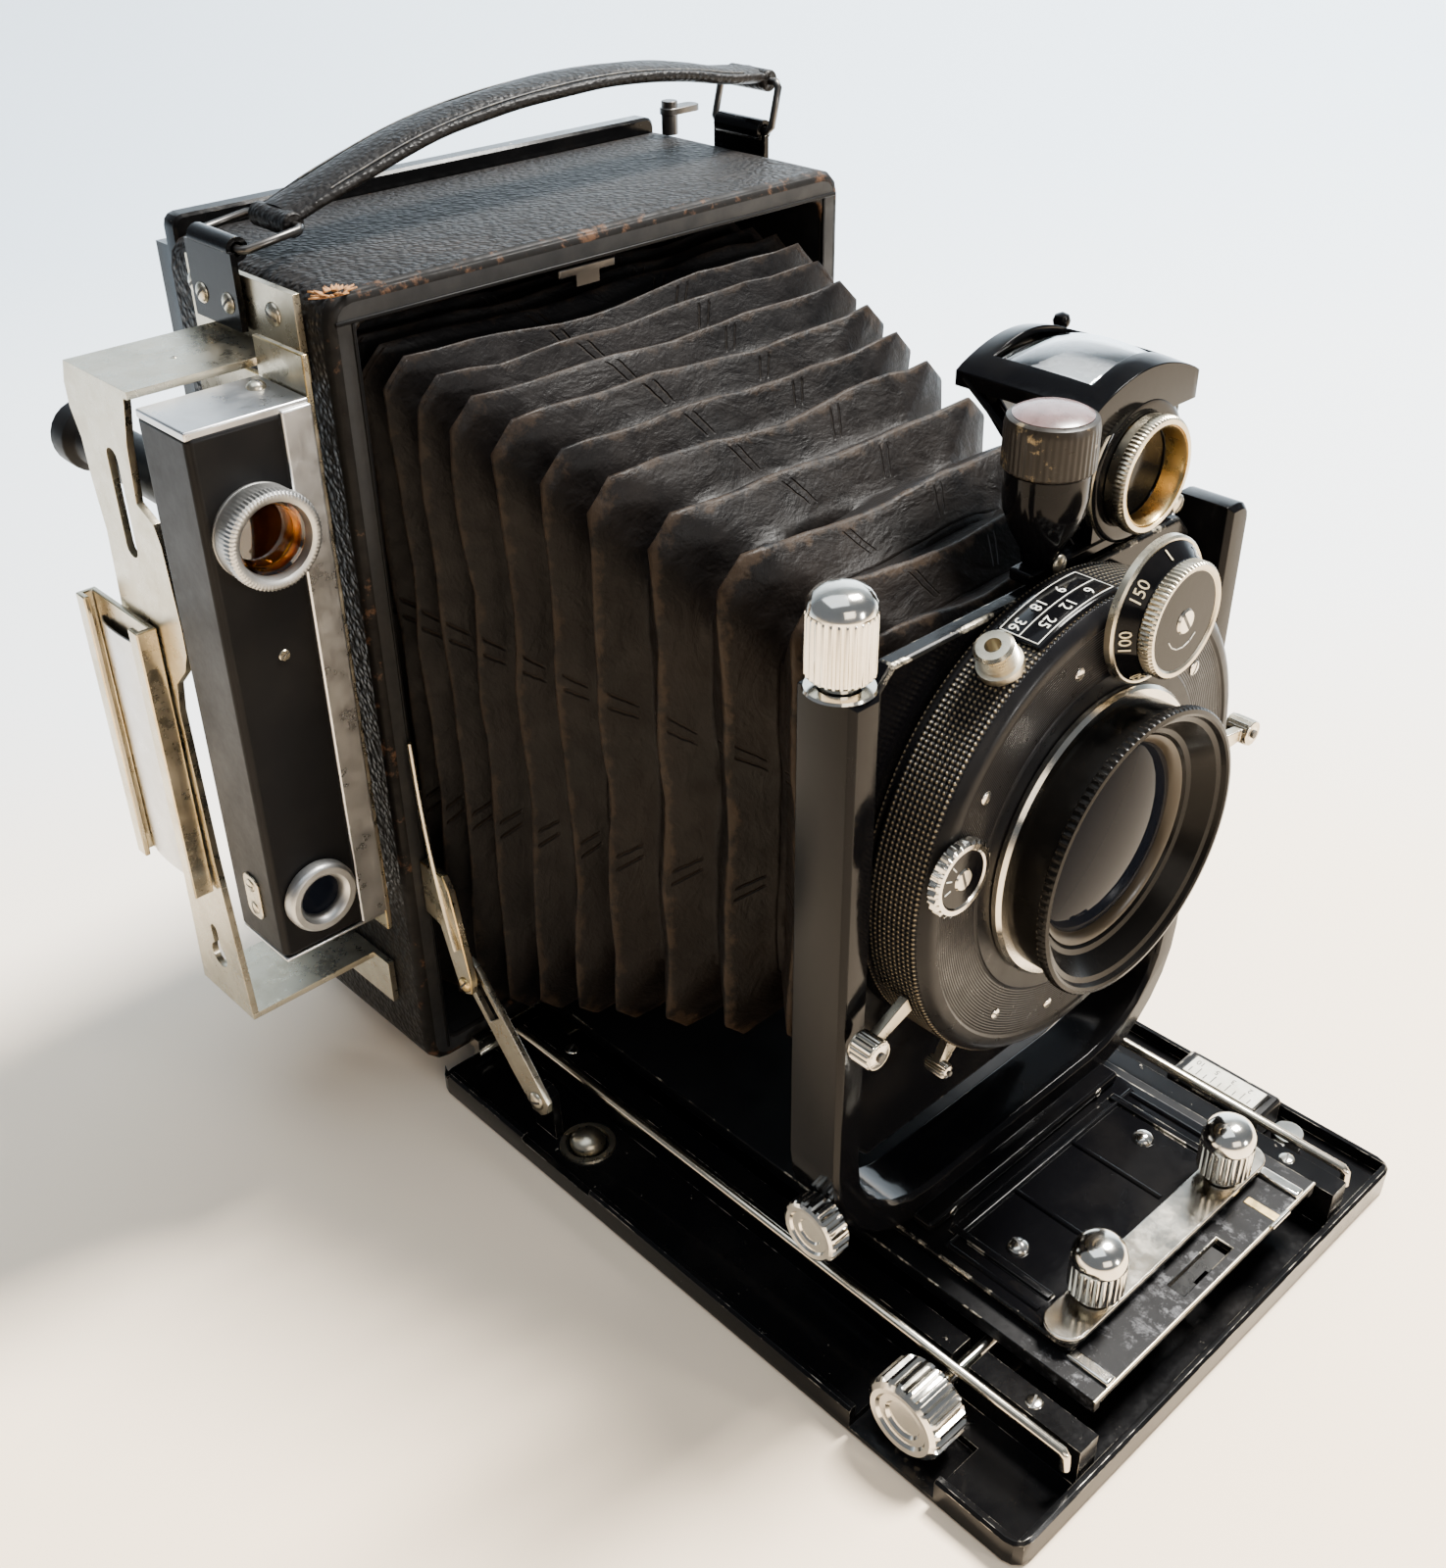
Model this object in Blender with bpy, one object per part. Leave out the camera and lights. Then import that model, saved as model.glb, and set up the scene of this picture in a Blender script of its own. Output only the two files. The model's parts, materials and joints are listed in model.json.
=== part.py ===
"""Folding plate camera for 9 x 12 cm plates, opened and upright, built piece by piece.

The lens looks along -Y, +Z is up and the underside of the open bed lies at z = 0.
All the sizes below are millimetres, measured from the bottom front edge of the body shell.
The solids are turned into metres and moved so that DATUM, the middle of the bed's underside,
is the origin.
"""

from math import atan2, cos, pi, radians, sin

import bmesh
import bpy
from mathutils import Vector

MM = 0.001
GAP = 0.3
DATUM = Vector((0.0, -71.0, 0.0))

# Body shell
BODY_HALF_W = 55.0
BODY_DEPTH = 48.0
BODY_Z0, BODY_Z1 = 5.0, 155.0
WALL = 5.0

# Bed and its hinge line
HINGE_Y, HINGE_Z = -2.8, 5.2
BED_HALF_W = 54.0
BED_FRONT_Y, BED_REAR_Y = -142.0, -0.6
BED_FLOOR_Z, BED_RIM_Z = 3.0, 5.5
LEDGE_X, LEDGE_W, LEDGE_Z = 36.0, 4.4, 11.0

# Focusing drive
PINION_Y, PINION_Z, PINION_R = -117.5, 9.3, 2.7
TRACK_HALF_W, TRACK_Z0, TRACK_Z1 = 31.5, 12.4, 13.8
CARRIAGE_Z0, CARRIAGE_Z1 = 14.2, 15.8
GRIP_X, GRIP_Y = 18.0, -127.0

# Standard, lens panel and shutter
FRAME_HALF_W, FRAME_ARM = 45.5, 5.7
FRAME_Y0, FRAME_Y1 = -97.0, -86.5
FRAME_Z0, FRAME_Z1 = 16.1, 122.5
LENS_Z = 86.0
BOARD_Y0, BOARD_Y1 = -92.5, -89.5
SHUTTER_R = 38.0
SHUTTER_FRONT = -104.3
SPEED_X, SPEED_Z = 7.0, 120.4
MODE_X, MODE_Z = -32.5, 94.5
FINDER_X, FINDER_Z = 20.5, 133.0

# Rangefinder at the side
RF_Y0, RF_Y1 = -6.0, 8.6
RF_UPPER = (-74.3, 126.4)
RF_LOWER = (-75.2, 61.4)

SHOE_Y, SHOE_Z = (17.5, 38.5), (53.0, 105.0)
SHOE_W = SHOE_Y[1] - SHOE_Y[0]

# Carrying handle
HANDLE_Y, RING_HALF = 27.0, 6.6
PIVOT_X, PIVOT_Z = 56.2, 158.2
CRANK_LEFT = (10.6, 1.4)
CRANK_RIGHT = (2.2, 8.4)

# Struts of the bed, seen from the side as (y, z)
STRUT_PIN = (-10.5, 30.5)
STRUT_PIVOT = (-27.0, 11.7)

# Bellows stations: y, half width, bottom z, top z
BELLOWS_REAR = (38.0, 47.8, 15.5, 145.5)
BELLOWS_MOUTH = (0.0, 47.5, 16.0, 144.0)
BELLOWS_FRONT = (-89.2, 29.6, 48.0, 119.3)
PLEAT_DEPTH, PLEAT_WALL = 5.0, 1.2

MATERIALS = {
    "leather": ((0.03, 0.025, 0.022), 0.6, 0.0),
    "black_enamel": ((0.012, 0.012, 0.013), 0.25, 0.0),
    "matt_black": ((0.02, 0.02, 0.02), 0.6, 0.2),
    "nickel": ((0.62, 0.58, 0.5), 0.25, 1.0),
    "brass": ((0.6, 0.42, 0.18), 0.3, 1.0),
    "aluminium": ((0.7, 0.7, 0.7), 0.4, 1.0),
    "glass": ((0.75, 0.8, 0.82), 0.05, 0.0),
    "amber_glass": ((0.8, 0.4, 0.05), 0.1, 0.0),
    "mirror": ((0.9, 0.9, 0.9), 0.03, 1.0),
    "bellows_leather": ((0.035, 0.024, 0.018), 0.65, 0.0),
}


def clear_scene():
    for obj in list(bpy.data.objects):
        bpy.data.objects.remove(obj, do_unlink=True)


def material(name):
    found = bpy.data.materials.get(name)
    if found:
        return found
    colour, roughness, metallic = MATERIALS[name]
    made = bpy.data.materials.new(name)
    made.use_nodes = True
    shader = made.node_tree.nodes["Principled BSDF"]
    shader.inputs["Base Color"].default_value = (*colour, 1.0)
    shader.inputs["Roughness"].default_value = roughness
    shader.inputs["Metallic"].default_value = metallic
    made.diffuse_color = (*colour, 1.0)
    return made


def place(axis, u, v, along):
    """The point whose in-plane coordinates are u, v and whose coordinate along axis is along."""
    if axis == "X":
        return Vector((along, u, v))
    if axis == "Y":
        return Vector((u, along, v))
    return Vector((u, v, along))


def solid(name, bm, slot, origin=(0.0, 0.0, 0.0)):
    """One object from a mesh in millimetres, with its origin at the given point."""
    bmesh.ops.recalc_face_normals(bm, faces=bm.faces)
    bmesh.ops.translate(bm, vec=-Vector(origin), verts=bm.verts)
    bmesh.ops.scale(bm, vec=(MM, MM, MM), verts=bm.verts)
    mesh = bpy.data.meshes.new(name)
    bm.to_mesh(mesh)
    bm.free()
    mesh.shade_smooth()
    mesh.set_sharp_from_angle(angle=radians(32))
    mesh.materials.append(material(slot))
    obj = bpy.data.objects.new(name, mesh)
    obj.location = (Vector(origin) - DATUM) * MM
    bpy.context.scene.collection.objects.link(obj)
    bpy.context.view_layer.update()
    return obj


def boolean(target, tool, operation):
    """Joins tool to target, or cuts it out, and keeps only the result."""
    step = target.modifiers.new(operation.lower(), "BOOLEAN")
    step.operation = operation
    step.solver = "EXACT"
    step.object = tool
    graph = bpy.context.evaluated_depsgraph_get()
    mesh = bpy.data.meshes.new_from_object(target.evaluated_get(graph))
    target.modifiers.clear()
    target.data = mesh
    mesh.shade_smooth()
    mesh.set_sharp_from_angle(angle=radians(32))
    bpy.data.objects.remove(tool, do_unlink=True)
    return target


def join(target, *tools):
    for tool in tools:
        boolean(target, tool, "UNION")
    return target


def cut(target, *tools):
    for tool in tools:
        boolean(target, tool, "DIFFERENCE")
    return target


def rounded(u0, u1, v0, v1, radius, steps=3):
    """Outline of a rectangle with rounded corners."""
    points = []
    corners = ((u1 - radius, v1 - radius, 0), (u0 + radius, v1 - radius, 90),
               (u0 + radius, v0 + radius, 180), (u1 - radius, v0 + radius, 270))
    for cu, cv, start in corners:
        for i in range(steps + 1):
            angle = radians(start + 90 * i / steps)
            points.append((cu + radius * cos(angle), cv + radius * sin(angle)))
    return points


def prism(name, outline, lo, hi, axis, slot, bevel=0.0, origin=(0.0, 0.0, 0.0)):
    """The outline pushed along an axis from lo to hi, with its end edges broken by bevel."""
    bm = bmesh.new()
    rings = []
    levels = [(lo, bevel), (lo + bevel, 0.0), (hi - bevel, 0.0), (hi, bevel)] if bevel else [(lo, 0.0), (hi, 0.0)]
    count = len(outline)
    area = sum(outline[i - 1][0] * outline[i][1] - outline[i][0] * outline[i - 1][1] for i in range(count))
    turn = 1.0 if area > 0 else -1.0
    for along, inset in levels:
        ring = []
        for i, (u, v) in enumerate(outline):
            before = Vector(outline[i - 1]) - Vector((u, v))
            after = Vector(outline[(i + 1) % count]) - Vector((u, v))
            n1 = Vector((before.y, -before.x)).normalized() * turn
            n2 = Vector((-after.y, after.x)).normalized() * turn
            n = (n1 + n2)
            n = n / max(n.dot(n1), 0.3)
            ring.append(bm.verts.new(place(axis, u + n.x * inset, v + n.y * inset, along)))
        rings.append(ring)
    for low, high in zip(rings, rings[1:]):
        for i in range(count):
            j = (i + 1) % count
            bm.faces.new((low[i], low[j], high[j], high[i]))
    bm.faces.new(rings[0])
    bm.faces.new(rings[-1])
    return solid(name, bm, slot, origin)


def box(name, x, y, z, slot, bevel=0.0, origin=(0.0, 0.0, 0.0)):
    outline = [(x[0], y[0]), (x[1], y[0]), (x[1], y[1]), (x[0], y[1])]
    if bevel:
        outline = rounded(x[0], x[1], y[0], y[1], bevel, 1)
    return prism(name, outline, z[0], z[1], "Z", slot, bevel, origin)


def lathe(name, profile, axis, centre, slot, steps=32, origin=None):
    """Turns (radius, along) points about an axis through centre; a radius of 0 closes the solid."""
    bm = bmesh.new()
    rings = []
    for radius, along in profile:
        if radius == 0.0:
            rings.append([bm.verts.new(place(axis, centre[0], centre[1], along))])
            continue
        ring = []
        for i in range(steps):
            angle = 2 * pi * i / steps
            u, v = centre[0] + radius * cos(angle), centre[1] + radius * sin(angle)
            ring.append(bm.verts.new(place(axis, u, v, along)))
        rings.append(ring)
    closed = profile[0][0] != 0.0
    pairs = list(zip(rings, rings[1:])) + ([(rings[-1], rings[0])] if closed else [])
    for a, b in pairs:
        for i in range(steps):
            j = (i + 1) % steps
            if len(a) == 1:
                bm.faces.new((a[0], b[i], b[j]))
            elif len(b) == 1:
                bm.faces.new((a[i], a[j], b[0]))
            else:
                bm.faces.new((a[i], a[j], b[j], b[i]))
    if origin is None:
        origin = tuple(place(axis, centre[0], centre[1], profile[0][1]))
    return solid(name, bm, slot, origin)


def rod(name, radius, lo, hi, axis, centre, slot, steps=16, origin=None):
    profile = [(0.0, lo), (radius, lo), (radius, hi), (0.0, hi)]
    return lathe(name, profile, axis, centre, slot, steps, origin)


def tube(name, outer, inner, lo, hi, axis, centre, slot, steps=24, origin=None):
    profile = [(inner, lo), (outer, lo), (outer, hi), (inner, hi)]
    return lathe(name, profile, axis, centre, slot, steps, origin)


def ribbed_knob(name, radius, ribs, lo, hi, axis, centre, slot, origin):
    """A knob with coarse straight ribs round its edge."""
    outline = []
    for i in range(2 * ribs):
        angle = pi * i / ribs
        r = radius if i % 2 else radius * 0.93
        outline.append((centre[0] + r * cos(angle), centre[1] + r * sin(angle)))
    return prism(name, outline, lo, hi, axis, slot, 0.5, origin)


def wire_loop(name, path, normal, radius, slot, origin, sides=8):
    """Round wire swept along a closed flat path; normal is the normal of the path's plane."""
    bm = bmesh.new()
    rings = []
    normal = Vector(normal).normalized()
    count = len(path)
    for i, point in enumerate(path):
        ahead = (Vector(path[(i + 1) % count]) - Vector(point)).normalized()
        behind = (Vector(point) - Vector(path[i - 1])).normalized()
        tangent = (ahead + behind).normalized()
        side = tangent.cross(normal)
        stretch = 1.0 / max(tangent.dot(ahead), 0.5)
        ring = []
        for k in range(sides):
            angle = 2 * pi * k / sides
            offset = side * (cos(angle) * radius * stretch) + normal * (sin(angle) * radius)
            ring.append(bm.verts.new(Vector(point) + offset))
        rings.append(ring)
    for i in range(count):
        a, b = rings[i], rings[(i + 1) % count]
        for k in range(sides):
            m = (k + 1) % sides
            bm.faces.new((a[k], a[m], b[m], b[k]))
    return solid(name, bm, slot, origin)


def polar(angle_deg, radius, centre=(0.0, LENS_Z)):
    angle = radians(angle_deg)
    return centre[0] + radius * cos(angle), centre[1] + radius * sin(angle)


def between(a, b, share):
    return a + (b - a) * share


# ---------------------------------------------------------------- body

def make_body():
    shell = prism("body_casing", rounded(-BODY_HALF_W, BODY_HALF_W, BODY_Z0, BODY_Z1, 4.5),
                  0.0, BODY_DEPTH, "Y", "leather", 1.0)
    inside = prism("inside", rounded(-BODY_HALF_W + WALL, BODY_HALF_W - WALL, BODY_Z0 + WALL, BODY_Z1 - WALL, 2.0),
                   -5.0, BODY_DEPTH + 5.0, "Y", "leather")
    cut(shell, inside)

    bush = tube("body_tripod_bush", 9.5, 4.8, 0.0, BODY_Z0 - GAP, "Z", (0.0, 24.0), "nickel", 32)
    join(bush, rod("bush_roof", 9.0, 3.6, BODY_Z0 - GAP, "Z", (0.0, 24.0), "nickel", 32))

    ceiling = BODY_Z1 - WALL - GAP
    catch = box("bed_catch", (-11.0, 1.0), (0.6, 4.6), (ceiling - 1.6, ceiling), "nickel", 0.2)
    join(catch, box("hook", (-7.5, -2.5), (0.6, 1.8), (ceiling - 3.4, ceiling - 1.0), "nickel"))

    hinge = rod("bed_hinge_rod", 1.1, -46.0, 46.0, "X", (HINGE_Y, HINGE_Z), "nickel", 12)
    for x0, x1 in ((-46.0, -42.4), (-2.6, 2.6), (42.4, 46.0)):
        join(hinge, box("lug", (x0, x1), (-3.4, -GAP - 0.05), (6.0, 8.4), "nickel"))


def make_back():
    y0 = BODY_DEPTH + GAP
    frame = prism("back_frame", rounded(-52.5, 52.5, 7.0, 157.5, 2.0), y0, y0 + 4.0, "Y", "black_enamel", 0.5)
    cut(frame, prism("window", rounded(-46.0, 46.0, 16.0, 138.0, 2.0), y0 - 5, y0 + 9, "Y", "black_enamel"))
    for side in (-1, 1):
        x = sorted((side * 50.2, side * 52.0))
        join(frame, box("lip", x, (y0 + 3.0, y0 + 8.6), (9.0, 152.0), "black_enamel"))
    y1 = y0 + 4.0 + GAP
    holder = prism("screen_holder", rounded(-49.8, 49.8, 11.0, 154.0, 1.5), y1, y1 + 3.8, "Y", "black_enamel", 0.4)
    cut(holder, prism("window", rounded(-43.5, 43.5, 20.0, 134.0, 1.0), y1 - 5, y1 + 9, "Y", "black_enamel"))
    box("ground_glass", (-43.2, 43.2), (y1 + 0.8, y1 + 2.6), (20.3, 133.7), "glass", 0.2)
    y2 = y1 + 3.8 + GAP
    lid_axis = (y2 + 1.4, 142.0)
    lid = prism("screen_lid", rounded(-46.0, 46.0, 15.0, 139.0, 2.5), y2, y2 + 2.8, "Y", "leather", 0.6,
                (0.0, *lid_axis))
    for x0 in (-38.0, 24.0):
        knuckle = rod("knuckle", 1.4, x0, x0 + 14.0, "X", lid_axis, "leather", 12)
        join(lid, knuckle, box("leaf", (x0 + 1.0, x0 + 13.0), (y2 + 0.7, y2 + 2.1), (137.5, 142.0), "leather"))
    post = rod("back_latch", 1.6, BODY_Z1 + GAP, 161.5, "Z", (51.0, 42.0), "nickel", 16, (51.0, 42.0, BODY_Z1))
    join(post, prism("lever", rounded(49.2, 58.0, 40.2, 43.8, 1.5), 159.0, 160.2, "Z", "nickel"))


def make_handle():
    for name, side in (("handle_bracket_left", -1), ("handle_bracket_right", 1)):
        x = sorted((side * (57.0 if side < 0 else 55.3), side * (58.1 if side < 0 else 56.4)))
        plate = box(name, x, (20.0, 34.0), (146.0, 158.0), "black_enamel")
        sleeve = rod("sleeve", 1.9, 21.0, 33.0, "Y", (side * PIVOT_X, PIVOT_Z), "black_enamel", 16)
        join(plate, sleeve)
        cut(plate, rod("bore", 1.15, 15.0, 40.0, "Y", (side * PIVOT_X, PIVOT_Z), "black_enamel", 16))
    for name, side, crank in (("handle_ring_left", -1, CRANK_LEFT), ("handle_ring_right", 1, CRANK_RIGHT)):
        px, pz = side * PIVOT_X, PIVOT_Z
        corners = []
        for share, y in ((0.0, -1), (0.0, 1), (1.0, 1), (1.0, -1)):
            corners.append(Vector((px + crank[0] * share, HANDLE_Y + y * (RING_HALF + 1.1), pz + crank[1] * share)))
        path = []
        for i, corner in enumerate(corners):
            for other in (corners[i - 1], corners[(i + 1) % 4]):
                path.append(corner + (other - corner).normalized() * 0.9)
        normal = Vector((crank[1], 0.0, -crank[0]))
        wire_loop(name, path, normal, 0.7, "nickel", (px, HANDLE_Y, pz))
    make_strap()


def make_strap():
    left = (-PIVOT_X + CRANK_LEFT[0], PIVOT_Z + CRANK_LEFT[1])
    right = (PIVOT_X + CRANK_RIGHT[0], PIVOT_Z + CRANK_RIGHT[1])
    spine = [left, (-34.0, 164.0), (-20.0, 168.0), (-6.0, 170.4), (10.0, 171.6), (24.0, 171.6),
             (38.0, 170.2), (49.0, 168.2), right]
    upper, lower = [], []
    for i, (x, z) in enumerate(spine):
        before, after = spine[max(i - 1, 0)], spine[min(i + 1, len(spine) - 1)]
        t = Vector((after[0] - before[0], after[1] - before[1])).normalized()
        half = 1.3 if 0 < i < len(spine) - 1 else 2.1
        upper.append((x - t.y * half, z + t.x * half))
        lower.append((x + t.y * half, z - t.x * half))
    nose_l = [(left[0] - 1.9, left[1] - 1.3), (left[0] - 2.2, left[1] + 0.5)]
    nose_r = [(right[0] + 2.2, right[1] + 0.7), (right[0] + 2.0, right[1] - 1.5)]
    outline = upper + nose_r + lower[::-1] + nose_l
    strap = prism("handle_strap", outline, HANDLE_Y - 6.0, HANDLE_Y + 6.0, "Y", "leather", 0.0,
                  (left[0], HANDLE_Y, left[1]))
    for point in (left, right):
        cut(strap, rod("eye", 1.15, HANDLE_Y - 9.0, HANDLE_Y + 9.0, "Y", point, "leather", 12))


# ---------------------------------------------------------------- rangefinder

def make_rangefinder():
    bracket = box("rf_bracket", (-56.5, -55.3), (6.0, 38.0), (141.0, 154.5), "nickel")
    plate = prism("outer_plate", [(12.0, 145.1), (31.0, 145.1), (32.4, 141.5), (32.4, 137.5), (30.6, 133.0),
                                  (30.2, 126.0), (29.0, 118.0), (30.4, 96.0), (29.5, 60.0), (31.0, 26.0), (13.0, 26.0),
                                  (15.5, 60.0), (16.2, 90.0), (15.0, 95.5), (10.8, 99.5), (9.2, 103.0), (9.0, 108.0),
                                  (10.0, 121.5), (11.2, 124.5), (15.6, 126.5), (14.6, 136.0), (12.6, 142.5)],
                  -82.4, -81.2, "X", "nickel")
    join(bracket,
         box("top_arm", (-82.4, -55.3), (11.0, 31.0), (143.9, 145.1), "nickel"),
         plate,
         box("low_arm", (-82.4, -55.3), (13.0, 31.0), (26.0, 27.2), "nickel"),
         box("low_tab", (-56.5, -55.3), (8.0, 31.0), (18.0, 27.2), "nickel"))
    cut(bracket, prism("slot", rounded(19.0, 22.5, 116.0, 134.0, 1.6), -90.0, -75.0, "X", "nickel"),
        rod("keyhole", 2.6, -90.0, -75.0, "X", (22.0, 36.0), "nickel", 16),
        prism("key_slot", rounded(20.9, 23.1, 37.0, 43.0, 1.0, 2), -90.0, -75.0, "X", "nickel"))

    shoe = box("rf_shoe", (-83.7, -82.7), SHOE_Y, SHOE_Z, "nickel")
    for wall, lip in (((0.0, 1.0), (0.0, 3.0)), ((SHOE_W - 1.0, SHOE_W), (SHOE_W - 3.0, SHOE_W))):
        wall_y = [SHOE_Y[0] + edge for edge in wall]
        lip_y = [SHOE_Y[0] + edge for edge in lip]
        join(shoe, box("wall", (-86.2, -83.2), wall_y, SHOE_Z, "nickel"),
             box("lip", (-86.2, -85.2), lip_y, SHOE_Z, "nickel"))

    back = box("rf_back_plate", (-62.6, -61.6), (-5.0, 28.0), (46.0, 143.4), "brass")
    join(back, box("tongue", (-62.6, -61.6), (-5.0, 8.6), (142.0, 149.5), "brass"))

    box("rf_body", (-82.8, -62.9), (RF_Y0, RF_Y1), (51.0, 143.0), "matt_black", 0.8)
    tube("rf_upper_ring", 7.1, 5.2, RF_Y0 - 3.6, RF_Y0 - GAP, "Y", RF_UPPER, "aluminium", 32)
    rod("rf_amber_filter", 4.9, RF_Y0 - 2.4, RF_Y0 - 0.8, "Y", RF_UPPER, "amber_glass", 24)
    tube("rf_lower_ring", 6.3, 4.3, RF_Y0 - 2.6, RF_Y0 - GAP, "Y", RF_LOWER, "aluminium", 32)
    eyepiece = [(0.0, RF_Y1 + GAP), (4.2, RF_Y1 + GAP), (4.2, 44.0), (5.6, 45.5), (5.6, 50.0), (3.4, 50.0),
                (2.6, 48.0), (0.0, 48.0)]
    lathe("rf_eyepiece", eyepiece, "Y", RF_UPPER, "matt_black", 24)


# ---------------------------------------------------------------- bed

def make_bed():
    bed = prism("bed_panel", rounded(-BED_HALF_W, BED_HALF_W, BED_FRONT_Y, BED_REAR_Y, 3.0), 0.0, BED_RIM_Z, "Z",
                "black_enamel", 0.5, (0.0, HINGE_Y, HINGE_Z))
    cut(bed,
        box("well", (-52.6, 52.6), (BED_FRONT_Y + 1.4, 5.0), (BED_FLOOR_Z, 9.0), "black_enamel"),
        box("notch", (-56.0, -50.0), (-46.0, -27.0), (4.3, 9.0), "black_enamel"),
        box("knob_recess", (-56.0, -43.5), (PINION_Y - 8.5, PINION_Y + 8.5), (1.4, 9.0), "black_enamel"),
        rod("button_pocket", 3.7, 1.2, 9.0, "Z", (-45.0, -35.0), "black_enamel", 20))
    for side in (-1, 1):
        x = sorted((side * (LEDGE_X - LEDGE_W / 2), side * (LEDGE_X + LEDGE_W / 2)))
        join(bed, box("ledge", x, (-140.2, -8.0), (BED_FLOOR_Z - 0.5, LEDGE_Z), "black_enamel"))
        x = sorted((side * 3.5, side * 41.5))
        join(bed, rod("knuckle", 2.3, x[0], x[1], "X", (HINGE_Y, HINGE_Z), "black_enamel", 16))
        x = sorted((side * 46.7, side * 48.4))
        y, z = STRUT_PIVOT
        lug = prism("lug", [(y - 3.0, BED_FLOOR_Z - 0.6), (y + 3.0, BED_FLOOR_Z - 0.6), (y + 2.6, z + 1.4),
                            (y + 1.0, z + 2.6), (y - 1.0, z + 2.6), (y - 2.6, z + 1.4)], x[0], x[1], "X", "black_enamel")
        x = sorted((side * 47.5, side * 50.4))
        join(bed, lug, rod("stub", 1.2, x[0], x[1], "X", STRUT_PIVOT, "black_enamel", 12))
    cut(bed, rod("bore", 1.45, -60.0, 60.0, "X", (HINGE_Y, HINGE_Z), "black_enamel", 12),
        box("shaft_notch", (-40.0, -32.0), (PINION_Y - 1.7, PINION_Y + 1.7), (7.6, 15.0), "black_enamel"))

    button = [(0.0, BED_FLOOR_Z - 0.3), (3.3, BED_FLOOR_Z - 0.3), (3.3, 4.0), (2.5, 5.2), (0.0, 5.9)]
    lathe("bed_button", button, "Z", (-45.0, -35.0), "nickel", 24)

    scale = box("distance_scale", (41.4, 50.8), (-120.8, -101.6), (BED_FLOOR_Z + GAP, 9.2), "matt_black", 0.6)
    join(scale, box("tablet", (43.0, 49.2), (-119.0, -103.4), (9.0, 9.7), "matt_black"))

    stop_at = (46.6, -124.8)
    stop = rod("infinity_stop", 2.8, BED_FLOOR_Z + GAP, 6.4, "Z", stop_at, "nickel", 20)
    join(stop, box("tail", (stop_at[0] - 6.6, stop_at[0]), (stop_at[1] - 1.1, stop_at[1] + 1.1), (4.4, 5.6), "nickel"))

    axis = (PINION_Y, PINION_Z)
    knob = ribbed_knob("focus_knob", 7.2, 16, -52.4, -45.0, "X", axis, "nickel", (-48.0, *axis))
    join(knob, rod("shaft", 1.2, -46.0, -22.5, "X", axis, "nickel", 12),
         rod("pinion", PINION_R, -27.5, -21.5, "X", axis, "nickel", 18))
    cut(knob, rod("dish", 4.6, -55.0, -51.6, "X", axis, "nickel", 24))


def make_struts():
    pin_y, pin_z = STRUT_PIN
    bed_y, bed_z = STRUT_PIVOT
    along = Vector((pin_y - bed_y, pin_z - bed_z))
    length = along.length
    d = along.normalized()
    n = Vector((-d.y, d.x))

    def at(distance, offset):
        return bed_y + d.x * distance + n.x * offset, bed_z + d.y * distance + n.y * offset

    for name, side in (("left", -1), ("right", 1)):
        x = sorted((side * 50.3, side * 51.8))
        guide = prism("strut_guide_" + name,
                      [(-0.35, 42.0), (-0.35, 53.0), (-7.0, 53.0), (-8.6, 50.5), (-12.6, 32.0), (-12.4, 29.2),
                       (-10.5, 28.2), (-8.6, 29.2), (-4.6, 41.0)], x[0], x[1], "X", "nickel")
        x = sorted((side * 48.0, side * 51.0))
        join(guide, rod("pin", 1.3, x[0], x[1], "X", STRUT_PIN, "nickel", 12))
        x = sorted((side * 48.7, side * 49.9))
        arm = [at(-3.0, -1.2), at(-3.0, 1.2), at(-1.5, 3.0), at(6.0, 3.3), at(length + 1.8, 3.3),
               at(length + 4.0, 2.0), at(length + 4.0, -2.0), at(length + 1.8, -3.3), at(6.0, -3.3), at(-1.5, -3.0)]
        piece = prism("strut_arm_" + name, arm, x[0], x[1], "X", "nickel", 0.0, (side * 49.3, *STRUT_PIVOT))
        slot = [at(length - 8.4, -1.9), at(length - 8.4, 1.9), at(length + 1.9, 1.9), at(length + 1.9, -1.9)]
        cut(piece, prism("slot", slot, -55.0, 55.0, "X", "nickel"),
            rod("eye", 1.6, -55.0, 55.0, "X", STRUT_PIVOT, "nickel", 12))


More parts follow.
